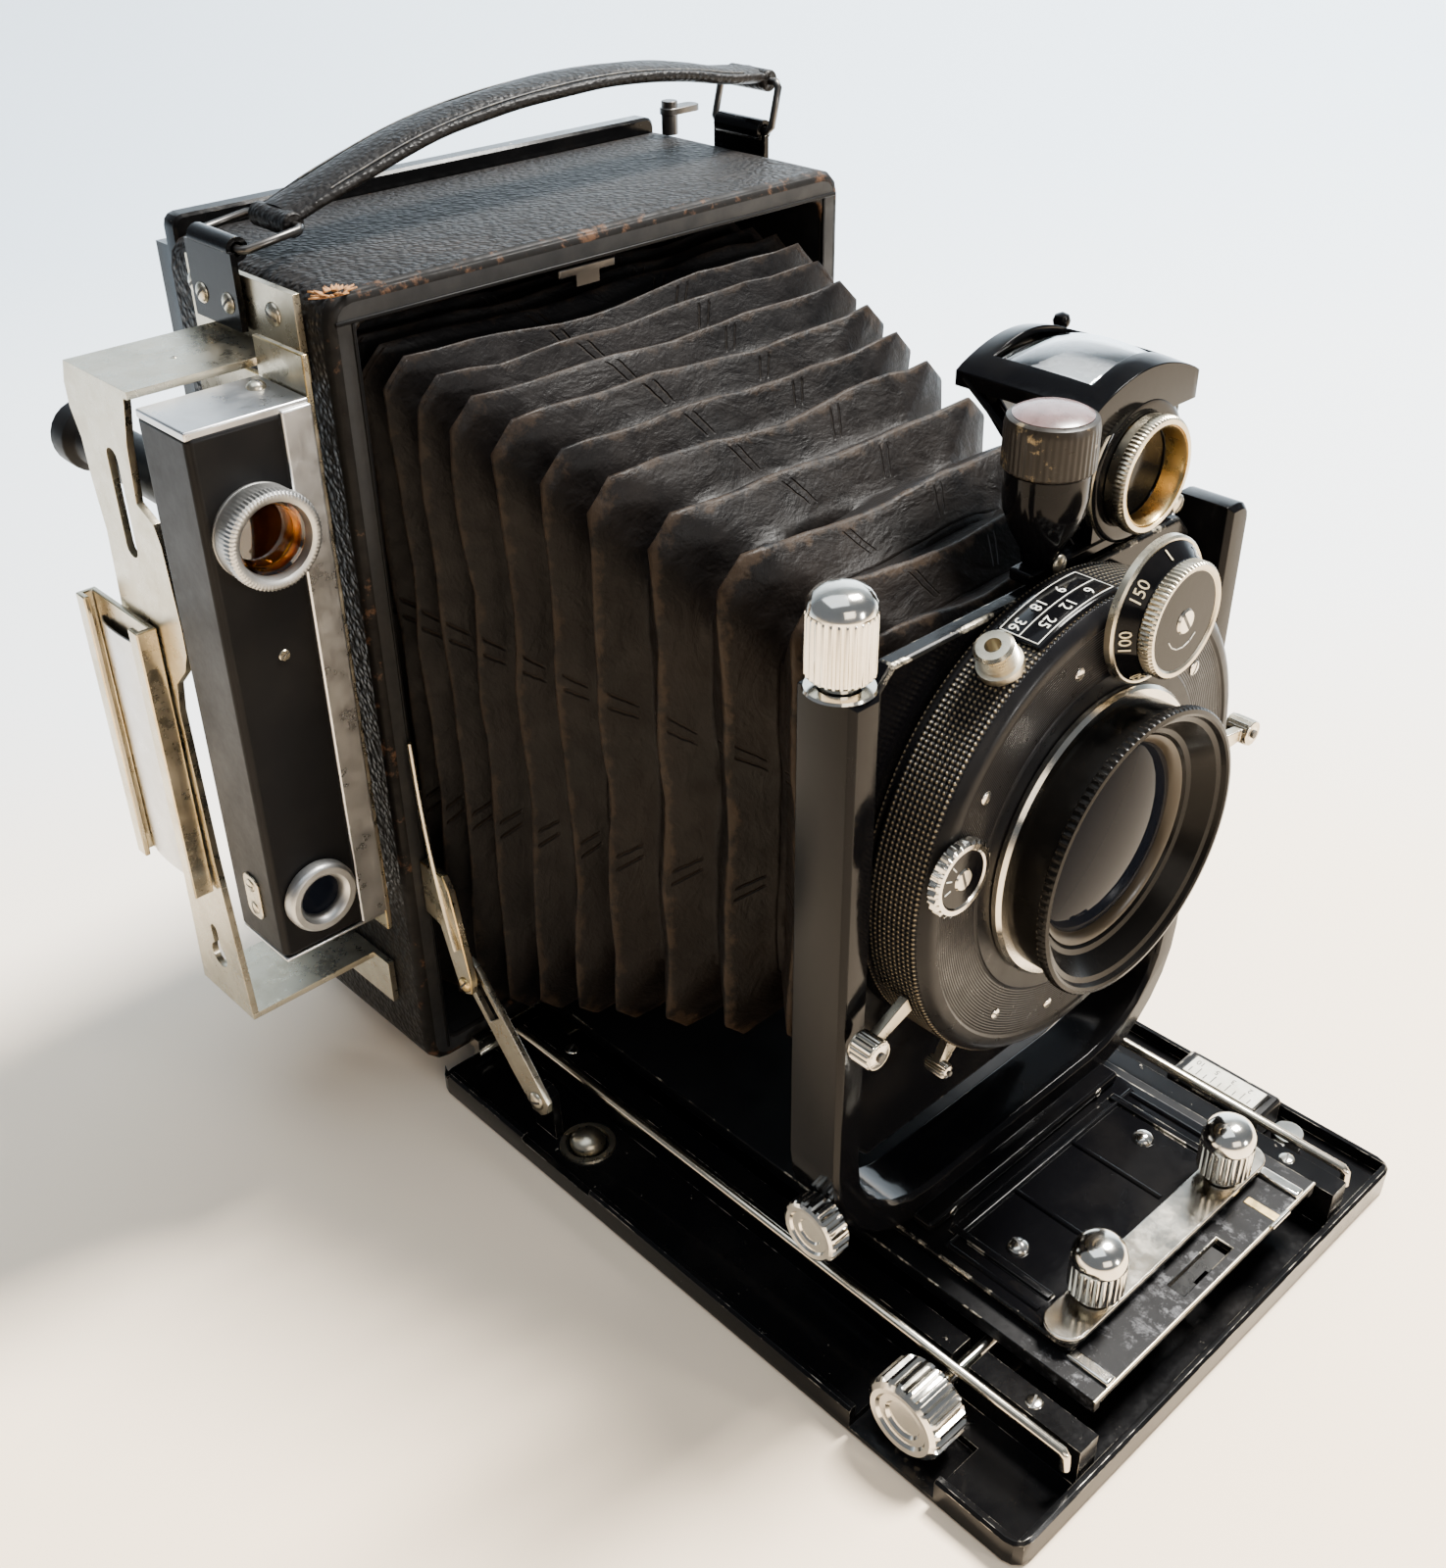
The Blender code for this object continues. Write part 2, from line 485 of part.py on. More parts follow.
def make_track():
    track = box("focus_track", (-TRACK_HALF_W, TRACK_HALF_W), (-137.5, -4.0), (TRACK_Z0, TRACK_Z1), "black_enamel")
    for side in (-1, 1):
        x = sorted((side * 29.9, side * TRACK_HALF_W))
        join(track, box("flange", x, (-137.5, -4.0), (11.2, TRACK_Z0 + 0.4), "black_enamel"))
    cut(track, box("window", (-5.0, 9.0), (-135.5, -132.5), (5.0, 20.0), "black_enamel"))

    plate = prism("carriage_plate", rounded(-28.0, 28.0, -130.0, -84.0, 2.0), CARRIAGE_Z0, CARRIAGE_Z1, "Z",
                  "black_enamel", 0.3)
    for side in (-1, 1):
        join(plate, box("bead", (side * 22.0 - 0.8, side * 22.0 + 0.8), (-122.0, -102.0), (15.0, 16.4), "black_enamel"))
    bar_z = (CARRIAGE_Z1 + GAP, CARRIAGE_Z1 + GAP + 1.3)
    prism("grip_bar", rounded(-28.5, 28.5, GRIP_Y - 3.6, GRIP_Y + 3.6, 3.4, 4), bar_z[0], bar_z[1], "Z", "nickel", 0.3)
    for name, side in (("grip_knob_left", -1), ("grip_knob_right", 1)):
        at = (side * GRIP_X, GRIP_Y)
        z0 = bar_z[1] + GAP
        profile = [(0.0, z0), (2.6, z0), (2.6, z0 + 1.8), (4.3, z0 + 2.0), (4.5, z0 + 8.8), (3.9, z0 + 10.6),
                   (2.2, z0 + 11.9), (0.0, z0 + 12.4)]
        lathe(name, profile, "Z", at, "nickel", 28)


# ---------------------------------------------------------------- standard

def make_standard():
    outer, inner = FRAME_HALF_W, FRAME_HALF_W - FRAME_ARM
    low = FRAME_Z0 + 6.2
    outline = []

    def arc(cx, cz, radius, start, stop, steps):
        for i in range(steps + 1):
            angle = radians(between(start, stop, i / steps))
            outline.append((cx + radius * cos(angle), cz + radius * sin(angle)))

    arc(outer - 24.0, FRAME_Z0 + 24.0, 24.0, 270, 360, 7)
    arc(outer - 2.6, FRAME_Z1 - 2.6, 2.6, 0, 90, 3)
    outline.append((inner, FRAME_Z1))
    arc(inner - 18.0, low + 18.0, 18.0, 0, -90, 6)
    arc(-inner + 18.0, low + 18.0, 18.0, 270, 180, 6)
    outline.append((-inner, FRAME_Z1))
    outline.append((-outer, FRAME_Z1))
    arc(-outer + 24.0, FRAME_Z0 + 24.0, 24.0, 180, 270, 7)
    frame = prism("standard_frame", outline, FRAME_Y0, FRAME_Y1, "Y", "black_enamel", 0.8)
    join(frame, box("foot", (-26.0, 26.0), (-100.5, -84.5), (FRAME_Z0, FRAME_Z0 + 2.2), "black_enamel", 0.4))

    cross = (-94.5, 29.5)
    knob = ribbed_knob("cross_knob", 5.4, 14, -49.0, -44.9, "X", cross, "nickel", (-47.0, *cross))
    cut(knob, rod("dish", 3.4, -53.0, -48.4, "X", cross, "nickel", 20))
    rise = (-42.65, -92.0)
    z0 = FRAME_Z1 + GAP
    profile = [(0.0, z0), (2.7, z0), (2.7, z0 + 1.6), (4.6, z0 + 1.8), (4.7, z0 + 9.8), (4.1, z0 + 12.0),
               (2.3, z0 + 13.6), (0.0, z0 + 14.2)]
    lathe("rise_knob", profile, "Z", rise, "nickel", 28)


def make_lens_panel():
    half = FRAME_HALF_W - FRAME_ARM - 0.5
    outline = [(-half, 112.0), (-half, 40.0), (-half + 6.0, 33.6), (half - 6.0, 33.6), (half, 40.0), (half, 112.0),
               (half - 3.4, 113.5), (half - 3.4, 119.0), (half - 6.4, 122.0), (-half + 6.4, 122.0),
               (-half + 3.4, 119.0), (-half + 3.4, 113.5)]
    board = prism("lens_board", outline, BOARD_Y0, BOARD_Y1, "Y", "black_enamel", 0.4)
    cell = rod("cell", 17.0, BOARD_Y1 - 1.0, -79.0, "Y", (0.0, LENS_Z), "black_enamel", 32)
    join(board, cell)
    cut(board, rod("cup", 13.5, -81.5, -70.0, "Y", (0.0, LENS_Z), "black_enamel", 32))

    case_y = BOARD_Y0 - GAP
    profile = [(0.0, case_y), (SHUTTER_R - 1.0, case_y), (SHUTTER_R, case_y - 1.0), (SHUTTER_R, SHUTTER_FRONT + 1.6),
               (SHUTTER_R - 1.4, SHUTTER_FRONT), (0.0, SHUTTER_FRONT)]
    case = lathe("shutter_case", profile, "Y", (0.0, LENS_Z), "matt_black", 64)
    angle = 119.6
    ex, ez = cos(radians(angle)), sin(radians(angle))
    root = Vector((ex, 0.0, ez)) * (SHUTTER_R - 2.0) + Vector((0.0, -99.2, LENS_Z))
    join(case, radial_rod("cable_socket", root, (ex, ez), 6.8, 3.4, "matt_black"))

    barrel = [(16.8, -104.6), (23.4, -104.6), (23.4, -106.0), (22.6, -106.4), (22.2, -112.2), (21.4, -113.5),
              (20.4, -113.5), (18.6, -109.8), (16.8, -109.2)]
    lathe("lens_barrel", barrel, "Y", (0.0, LENS_Z), "black_enamel", 48)
    glass = [(0.0, -104.8), (16.4, -104.8), (16.4, -106.4), (12.0, -108.0), (6.0, -109.1), (0.0, -109.4)]
    lathe("front_element", glass, "Y", (0.0, LENS_Z), "glass", 32)

    dial = [(0.0, SHUTTER_FRONT - GAP), (11.0, SHUTTER_FRONT - GAP), (11.0, SHUTTER_FRONT - 1.4),
            (9.7, SHUTTER_FRONT - 3.4), (10.2, SHUTTER_FRONT - 3.6), (10.2, SHUTTER_FRONT - 6.2), (9.6, SHUTTER_FRONT - 6.6),
            (0.0, SHUTTER_FRONT - 6.2)]
    lathe("speed_dial", dial, "Y", (SPEED_X, SPEED_Z), "black_enamel", 36)
    mode = [(0.0, SHUTTER_FRONT - GAP), (6.0, SHUTTER_FRONT - GAP), (6.0, SHUTTER_FRONT - 1.5), (0.0, SHUTTER_FRONT - 1.8)]
    lathe("mode_dial", mode, "Y", (MODE_X, MODE_Z), "black_enamel", 28)

    make_lever("cocking_lever", -3.7, 45.6, (-103.2, -101.6), 2.2, (-104.2, -99.8))
    make_lever("release_lever", -157.3, 47.4, (-100.8, -99.4), 2.3, (-102.6, -98.6))
    make_lever("aperture_lever", -128.0, 42.4, (-100.0, -98.6), 1.2, (-101.0, -97.8))


def radial_rod(name, root, direction, length, radius, slot):
    """A short round piece whose axis points outwards from the lens axis."""
    bm = bmesh.new()
    side = Vector((-direction[1], 0.0, direction[0]))
    rings = []
    for along in (0.0, length):
        ring = []
        for i in range(16):
            angle = 2 * pi * i / 16
            offset = side * (cos(angle) * radius) + Vector((0.0, sin(angle) * radius, 0.0))
            ring.append(bm.verts.new(root + Vector((direction[0], 0.0, direction[1])) * along + offset))
        rings.append(ring)
    for i in range(16):
        j = (i + 1) % 16
        bm.faces.new((rings[0][i], rings[0][j], rings[1][j], rings[1][i]))
    bm.faces.new(rings[0])
    bm.faces.new(rings[1])
    return solid(name, bm, slot)


def make_lever(name, angle, reach, arm_y, tip_radius, tip_y):
    """A small lever that runs round the shutter, with its origin on the lens axis."""
    inner = SHUTTER_R + 0.4
    width = degrees_for(1.5, inner)
    outline = [polar(angle - width, inner), polar(angle - degrees_for(0.9, reach), reach),
               polar(angle + degrees_for(0.9, reach), reach), polar(angle + width, inner)]
    lever = prism(name, outline, arm_y[0], arm_y[1], "Y", "nickel", 0.0, (0.0, arm_y[0], LENS_Z))
    tip = polar(angle, reach)
    return join(lever, rod("tip", tip_radius, tip_y[0], tip_y[1], "Y", tip, "nickel", 14))


def degrees_for(width, radius):
    return atan2(width, radius) * 180.0 / pi


def make_finder():
    x0, x1 = FINDER_X - 12.2, FINDER_X + 12.8
    body = box("finder_body", (x0 + 0.6, x1 - 0.6), (-91.5, -89.6), (123.6, 145.0), "black_enamel")
    join(body,
         box("base", (-3.0, x1 - 1.0), (-91.5, -87.5), (122.3, 124.2), "black_enamel"),
         box("hood", (x0, x1), (-91.5, -66.5), (142.7, 147.2), "black_enamel", 0.8))
    slope = [(-91.0, 122.8), (-89.0, 122.8), (-67.2, 144.2), (-68.8, 145.0)]
    join(body, prism("backing", slope, x0 + 1.0, x1 - 1.0, "X", "black_enamel"))
    cut(body, rod("eye", 7.2, -95.0, -88.5, "Y", (FINDER_X, FINDER_Z), "black_enamel", 28),
        box("window", (x0 + 2.6, x1 - 2.6), (-88.6, -70.4), (142.0, 155.0), "black_enamel"))

    lens_x0, lens_x1 = x0 + 2.9, x1 - 2.9
    outline = [(lens_x0, 144.3), (lens_x1, 144.3)]
    for i in range(9):
        share = i / 8
        outline.append((between(lens_x1, lens_x0, share), 146.0 + 2.6 * sin(pi * share)))
    prism("finder_lens", outline, -88.2, -70.8, "Y", "glass")
    mirror = [(-88.4, 126.0), (-72.9, 141.5), (-73.5, 142.1), (-89.0, 126.6)]
    prism("finder_mirror", mirror, x0 + 2.0, x1 - 2.0, "X", "mirror")
    tube("finder_ring", 9.3, 7.4, -96.2, -91.8, "Y", (FINDER_X, FINDER_Z), "nickel", 36)

    at = (1.2, -89.5)
    profile = [(0.0, 124.7), (2.4, 124.7), (4.6, 129.0), (6.2, 134.5), (6.2, 138.6), (6.6, 138.8), (6.6, 145.4),
               (6.0, 146.2), (0.0, 146.2)]
    lathe("level_housing", profile, "Z", at, "black_enamel", 28)
    lathe("level_glass", [(0.0, 146.5), (5.5, 146.5), (5.2, 147.1), (0.0, 147.5)], "Z", at, "glass", 28)


# ---------------------------------------------------------------- bellows

def bellows_section(y):
    """Half width, bottom and top of the bellows at a station along the lens axis."""
    if y >= BELLOWS_MOUTH[0]:
        a, b = BELLOWS_REAR, BELLOWS_MOUTH
    else:
        a, b = BELLOWS_MOUTH, BELLOWS_FRONT
    share = (y - a[0]) / (b[0] - a[0])
    return tuple(between(a[k], b[k], share) for k in (1, 2, 3))


def bellows_ring(y, inset):
    half, low, high = bellows_section(y)
    half, low, high = half - inset, low + inset, high - inset
    c = 7.0
    return [(half - c, low), (half, low + c), (half, high - c), (half - c, high),
            (-half + c, high), (-half, high - c), (-half, low + c), (-half + c, low)]


def make_bellows_part(name, y_rear, y_front, folds):
    """A tapered, folded leather sleeve between two stations."""
    bm = bmesh.new()
    skins = []
    count = 2 * folds + 1
    for wall in (0.0, PLEAT_WALL):
        skin = []
        for i in range(count):
            y = between(y_rear, y_front, i / (count - 1))
            inset = (PLEAT_DEPTH if i % 2 == 0 else 0.0) + wall
            skin.append([bm.verts.new((u, y, v)) for u, v in bellows_ring(y, inset)])
        skins.append(skin)
    for skin in skins:
        for a, b in zip(skin, skin[1:]):
            for i in range(8):
                j = (i + 1) % 8
                bm.faces.new((a[i], a[j], b[j], b[i]))
    for end in (0, -1):
        a, b = skins[0][end], skins[1][end]
        for i in range(8):
            j = (i + 1) % 8
            bm.faces.new((a[i], a[j], b[j], b[i]))
    return solid(name, bm, "bellows_leather", (0.0, y_rear, LENS_Z))


def make_bellows():
    stations = (38.0, -12.0, -40.0, -70.0, -80.0, -89.2)
    names = ("bellows_body", "bellows_focus", "bellows_carriage", "bellows_cross", "bellows_front")
    folds = (6, 3, 3, 1, 1)
    for i, name in enumerate(names):
        front = stations[i + 1] + (GAP if i < len(names) - 1 else 0.0)
        make_bellows_part(name, stations[i], front, folds[i])


clear_scene()
make_body()
make_back()
make_handle()
make_rangefinder()
make_bed()
make_struts()
make_track()
make_standard()
make_lens_panel()
make_finder()
make_bellows()
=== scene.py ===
"""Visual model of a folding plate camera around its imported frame.

Positions are in millimetres from the bottom front edge of the body shell, as in the part's source;
P() turns them into metres in the row frame, whose origin is the middle of the bed's underside.
"""
import bmesh
import bpy
import json
from math import cos, pi, radians, sin, sqrt
from mathutils import Matrix, Vector, noise

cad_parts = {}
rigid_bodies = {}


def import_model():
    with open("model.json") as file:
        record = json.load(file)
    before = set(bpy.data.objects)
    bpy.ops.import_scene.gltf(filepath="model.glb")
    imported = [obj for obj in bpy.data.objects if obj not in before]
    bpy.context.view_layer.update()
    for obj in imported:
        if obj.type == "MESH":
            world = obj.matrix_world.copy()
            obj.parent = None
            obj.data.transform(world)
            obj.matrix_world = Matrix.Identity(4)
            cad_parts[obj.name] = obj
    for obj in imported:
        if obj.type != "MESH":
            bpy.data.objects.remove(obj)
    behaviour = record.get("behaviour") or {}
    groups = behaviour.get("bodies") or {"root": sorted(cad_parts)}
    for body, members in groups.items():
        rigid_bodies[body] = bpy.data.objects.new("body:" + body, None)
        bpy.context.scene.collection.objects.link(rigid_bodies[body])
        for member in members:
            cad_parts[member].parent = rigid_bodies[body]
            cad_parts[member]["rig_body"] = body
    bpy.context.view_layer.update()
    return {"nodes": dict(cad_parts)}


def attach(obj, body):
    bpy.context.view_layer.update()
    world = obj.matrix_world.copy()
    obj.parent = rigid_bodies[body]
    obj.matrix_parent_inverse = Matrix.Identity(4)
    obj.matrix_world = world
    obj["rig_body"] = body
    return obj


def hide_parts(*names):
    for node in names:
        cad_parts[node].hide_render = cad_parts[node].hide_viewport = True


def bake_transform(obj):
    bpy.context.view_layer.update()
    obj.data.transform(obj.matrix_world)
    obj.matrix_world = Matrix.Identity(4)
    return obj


MM = 0.001
DATUM_Y = 71.0
LENS_Z = 86.0
# spacing of the turned rings and of the knurl on the shutter, in metres
RING_PITCH, KNURL_PITCH = 0.00042, 0.0017
# the two bodies that carry most pieces
BODY, LENS = "camera_body", "lens_panel"
# places that several pieces share, in millimetres
HANDLE_Y = 27.0
BOARD_FACE = (0, -92.8, LENS_Z)
SHUTTER_FACE = (0, -104.4, LENS_Z)
RISE_KNOB = (-42.65, -92.0, 0)
FINDER_WINDOW = (20.5, -91.8, 133.0)
LEVEL = (1.2, -89.5, 0)
# radius of the lines on the aperture scale, and the turn between the ends of a dash on the speed dial
RIM = 38.38
ARROW_STEP = 0.34 * 180.0 / pi

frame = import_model()
SCENE = bpy.context.scene
X, Y, Z = Vector((1, 0, 0)), Vector((0, 1, 0)), Vector((0, 0, 1))


def P(x, y, z):
    return Vector((x, y + DATUM_Y, z)) * MM


# ---------------------------------------------------------------- materials

class Maker:
    """A material's node tree, written as short calls."""

    def __init__(self, name):
        self.material = bpy.data.materials.new(name)
        self.material.use_nodes = True
        self.tree = self.material.node_tree
        self.shader = self.tree.nodes["Principled BSDF"]
        self.object = self.node("ShaderNodeTexCoord").outputs["Object"]

    def node(self, kind, inputs=(), **settings):
        made = self.tree.nodes.new(kind)
        for key, value in settings.items():
            setattr(made, key, value)
        for key, value in dict(inputs).items():
            self.put(made.inputs[key], value)
        return made

    def put(self, socket, value):
        if isinstance(value, bpy.types.NodeSocket):
            self.tree.links.new(value, socket)
        else:
            socket.default_value = value

    def set(self, **values):
        names = {"colour": "Base Color", "rough": "Roughness", "metal": "Metallic", "normal": "Normal",
            "coat": "Coat Weight", "coat_rough": "Coat Roughness", "trans": "Transmission Weight",
            "ior": "IOR", "specular": "Specular IOR Level"}
        for key, value in values.items():
            self.put(self.shader.inputs[names[key]], value)
        return self.material

    def noise(self, scale, detail=3.0, rough=0.55, vector=None, distort=0.0):
        """Cloudy noise; a scale of 100 gives marks of about 10 mm, 1000 of about 1 mm."""
        made = self.node("ShaderNodeTexNoise", {"Vector": vector or self.object, "Scale": scale,
            "Detail": detail, "Roughness": rough, "Distortion": distort})
        return made.outputs["Fac"]

    def cells(self, scale, vector=None):
        made = self.node("ShaderNodeTexVoronoi", {"Vector": vector or self.object, "Scale": scale})
        return made.outputs["Distance"]

    def stretched(self, scale):
        return self.node("ShaderNodeMapping", {"Vector": self.object, "Scale": scale}).outputs["Vector"]

    def ramp(self, value, *stops):
        made = self.node("ShaderNodeValToRGB", {"Fac": value})
        ramp = made.color_ramp
        while len(ramp.elements) < len(stops):
            ramp.elements.new(0.5)
        for element, (at, colour) in zip(ramp.elements, stops):
            element.position = at
            if isinstance(colour, (int, float)):
                colour = (colour, colour, colour)
            element.color = (*colour, 1.0)
        return made.outputs["Color"]

    def level(self, value, low, high, to_low=0.0, to_high=1.0):
        made = self.node("ShaderNodeMapRange", {"Value": value, "From Min": low, "From Max": high,
            "To Min": to_low, "To Max": to_high})
        return made.outputs["Result"]

    def math(self, operation, a, b=0.0):
        return self.node("ShaderNodeMath", {0: a, 1: b}, operation=operation).outputs["Value"]

    def plus(self, a, b):
        return self.math("ADD", a, b)

    def minus(self, a, b):
        return self.math("SUBTRACT", a, b)

    def times(self, a, b):
        return self.math("MULTIPLY", a, b)

    def mix(self, share, a, b):
        made = self.node("ShaderNodeMix", data_type="RGBA")
        self.put(made.inputs["Factor"], share)
        for key, value in ((6, a), (7, b)):
            if isinstance(value, tuple):
                value = (*value, 1.0)
            self.put(made.inputs[key], value)
        return made.outputs[2]

    def bump(self, height, distance, strength=1.0, normal=None):
        inputs = {"Height": height, "Distance": distance, "Strength": strength}
        if normal:
            inputs["Normal"] = normal
        return self.node("ShaderNodeBump", inputs).outputs["Normal"]

    def attribute(self, name):
        return self.node("ShaderNodeAttribute", attribute_name=name).outputs["Fac"]

    def axis(self, name):
        return self.node("ShaderNodeSeparateXYZ", {"Vector": self.object}).outputs[name]


def paint(name, base, low, high, dust=(0.02, 0.018, 0.016), peel=0.00002, chips=0.0,
        chip_colour=(0.3, 0.27, 0.22), gloss=0.22):
    """Enamel or satin paint: uneven gloss, a film of dust, orange peel and, where asked, small chips."""
    m = Maker(name)
    colour = m.mix(m.level(m.noise(55.0, 5.0), 0.5, 0.8, 0.0, 0.3), base, dust)
    if chips:
        spots = m.ramp(m.noise(420.0, 4.0, 0.7), (0.70, 0.0), (0.74, 1.0))
        area = m.ramp(m.noise(38.0, 2.0), (0.5 - 0.12 * chips, 0.0), (0.62, 1.0))
        colour = m.mix(m.times(spots, area), colour, chip_colour)
    rough = m.level(m.plus(m.noise(90.0, 6.0, 0.7), m.times(m.noise(900.0, 3.0), 0.35)), 0.4, 0.95, low,
        high)
    normal = m.bump(m.noise(700.0, 2.0), peel, 0.6)
    return m.set(colour=colour, rough=rough, normal=normal, specular=gloss)


def metal(name, bright, dull, low, high, brush=None, scratch=0.000008, stain=0.5):
    """Plated or bare metal: a stained colour, uneven gloss and fine scratches, brushed where asked."""
    m = Maker(name)
    tone = m.level(m.noise(130.0, 5.0, 0.65), 0.42, 0.75, 0.0, stain)
    colour = m.mix(tone, bright, dull)
    rough = m.level(m.noise(210.0, 6.0, 0.7), 0.35, 0.75, low, high)
    along = m.stretched(brush or (1500.0, 1500.0, 60.0))
    normal = m.bump(m.noise(1.0, 4.0, 0.7, along), scratch, 0.5)
    return m.set(colour=colour, rough=rough, metal=1.0, normal=normal)


def worn(name, under, over, share, rough=0.4, metallic=0.0, scale=260.0):
    """An edge where the covering is rubbed through in places."""
    m = Maker(name)
    patches = m.ramp(m.plus(m.times(m.noise(scale, 5.0, 0.7), 0.65),
        m.times(m.noise(scale * 0.17, 2.0), 0.35)), (0.53 - share, 0.0), (0.60 - share, 1.0))
    colour = m.mix(patches, over, under)
    metal_here = m.times(patches, metallic)
    rough_here = m.level(m.noise(500.0, 4.0), 0.3, 0.7, rough * 0.7, rough * 1.3)
    return m.set(colour=colour, rough=rough_here, metal=metal_here, normal=m.bump(patches, 0.00006, 0.6),
        specular=0.15)


def leather(name, base, light, scale=900.0, depth=0.00022, rough=(0.36, 0.62), wear=0.35):
    """Pebble-grained leather: rounded cells with creases between, brown where the grain is rubbed."""
    m = Maker(name)
    drift = m.node("ShaderNodeTexNoise", {"Vector": m.object, "Scale": 300.0, "Detail": 2.0})
    drift = m.node("ShaderNodeVectorMath", {0: drift.outputs["Color"], 1: (0.0012, 0.0012, 0.0012)},
        operation="MULTIPLY")
    warped = m.node("ShaderNodeVectorMath", {0: m.object, 1: drift.outputs["Vector"]}, operation="ADD")
    warped = warped.outputs["Vector"]
    grain = m.ramp(m.cells(scale, warped), (0.0, 1.0), (0.55, 0.35), (0.95, 0.0))
    crease = m.noise(150.0, 5.0, 0.6)
    height = m.plus(grain, m.times(crease, 1.1))
    rubbed = m.times(m.ramp(m.noise(46.0, 5.0, 0.62), (0.5, 0.0), (0.74, 1.0)), wear)
    colour = m.mix(m.times(rubbed, grain), base, light)
    gloss = m.level(grain, 0.0, 1.0, rough[1], rough[0])
    return m.set(colour=colour, rough=gloss, normal=m.bump(height, depth, 0.9), specular=0.16)


def bellows_leather():
    """Thin folded leather: dark panels, faintly brown ridges, creases and short paired stiffener marks, and
    a painted bluish sheen towards the rear.
    """
    m = Maker("bellows_leather")
    ridge, across, front = m.attribute("ridge"), m.attribute("across"), m.attribute("front")
    blotch = m.noise(60.0, 5.0, 0.65)
    # painted sheen: bluish grey panels towards the rear, brown-black towards the front, blended by the
    # front share
    painted_bluish_sheen = m.mix(m.level(blotch, 0.35, 0.7), (0.0022, 0.0021, 0.0025), (0.0058, 0.0053, 0.0056))
    warm = m.mix(m.level(blotch, 0.35, 0.7), (0.0032, 0.0024, 0.0021), (0.010, 0.0068, 0.0050))
    base = m.mix(front, painted_bluish_sheen, warm)
    rub = m.times(m.ramp(m.plus(ridge, m.times(m.minus(m.noise(260.0, 5.0, 0.7), 0.5), 1.1)), (0.86, 0.0),
        (1.16, 1.0)), m.level(front, 0, 1, 0.12, 0.75))
    tan = m.mix(m.noise(320.0, 4.0), (0.020, 0.013, 0.0085), (0.055, 0.036, 0.022))
    colour = m.mix(rub, base, tan)
    line = m.level(m.math("ABSOLUTE", m.minus(m.math("ABSOLUTE", m.minus(across, 0.66)), 0.028)), 0.0,
        0.010, 1.0, 0.0)
    line = m.times(line, m.times(m.level(ridge, 0.22, 0.34), m.level(ridge, 0.74, 0.86, 1.0, 0.0)))
    fine = m.noise(1.0, 5.0, 0.65, m.stretched((420.0, 900.0, 420.0)), 0.6)
    wrinkle = m.noise(1.0, 4.0, 0.6, m.stretched((90.0, 200.0, 90.0)), 1.0)
    height = m.minus(m.plus(m.times(fine, 0.3), m.times(wrinkle, 0.8)), m.times(line, 0.9))
    grain = m.bump(m.cells(1500.0), 0.00005, 0.5)
    rough = m.level(m.noise(240.0, 5.0), 0.3, 0.7, 0.40, 0.62)
    return m.set(colour=m.mix(m.times(line, 0.5), colour, (0.022, 0.016, 0.011)), rough=rough,
        normal=m.bump(height, 0.0006, 0.8, grain), specular=0.10)


def from_lens_axis(m):
    """Distance from the lens axis and the arc length round it, in metres."""
    x = m.axis("X")
    z = m.minus(m.axis("Z"), LENS_Z * MM)
    radius = m.math("SQRT", m.plus(m.times(x, x), m.times(z, z)))
    return radius, m.times(m.math("ARCTAN2", z, x), 0.038)


def shutter_paint():
    """Satin black with fine turned rings on the face and a diamond knurl on the rim."""
    m = Maker("shutter_black")
    radius, arc = from_lens_axis(m)
    y = m.axis("Y")
    rings = m.math("SINE", m.times(radius, 2 * pi / RING_PITCH))
    zone = m.times(m.level(radius, 0.0262, 0.0264), m.level(radius, 0.0340, 0.0342, 1, 0))
    k = 2 * pi / KNURL_PITCH
    diamonds = m.times(m.math("SINE", m.times(m.plus(arc, y), k)),
        m.math("SINE", m.times(m.minus(arc, y), k)))
    rim = m.level(radius, 0.0375, 0.0377)
    height = m.plus(m.times(m.times(rings, zone), 0.10), m.times(diamonds, rim))
    tone = m.times(m.level(diamonds, 0.3, 0.8, 0.0, 0.7), rim)
    base = m.mix(m.level(m.noise(80.0, 4.0), 0.4, 0.8), (0.005, 0.005, 0.006), (0.010, 0.0095, 0.009))
    colour = m.mix(tone, base, (0.30, 0.25, 0.17))
    rough = m.level(m.noise(300.0, 5.0), 0.3, 0.75, 0.24, 0.42)
    return m.set(colour=colour, rough=rough, metal=m.times(tone, 0.9), normal=m.bump(height, 0.0003, 0.9),
        specular=0.10)


def track_paint():
    """The focusing track: black paint scraped by the carriage, with grey smears near its front."""
    m = Maker("track_black")
    y = m.axis("Y")
    front = m.level(y, (DATUM_Y - 112.0) * MM, (DATUM_Y - 137.0) * MM)
    smear = m.ramp(m.noise(1.0, 6.0, 0.72, m.stretched((260.0, 110.0, 260.0)), 0.8), (0.45, 0.0),
        (0.62, 1.0))
    spots = m.ramp(m.noise(300.0, 5.0, 0.78), (0.50, 0.0), (0.60, 1.0))
    share = m.times(m.times(smear, spots), front)
    colour = m.mix(m.times(share, 0.6), (0.005, 0.005, 0.0055), (0.22, 0.22, 0.23))
    rough = m.level(m.noise(240.0, 5.0), 0.3, 0.7, 0.28, 0.55)
    return m.set(colour=colour, rough=rough, normal=m.bump(m.noise(600.0, 5.0, 0.8), 0.00005, 0.7),
        specular=0.12)


def glass(name, tint, rough=0.02):
    m = Maker(name)
    return m.set(colour=(*tint, 1.0), trans=1.0, ior=1.52, coat=0.6, coat_rough=0.02,
        rough=m.level(m.noise(60.0, 4.0), 0.3, 0.8, rough, rough + 0.05))


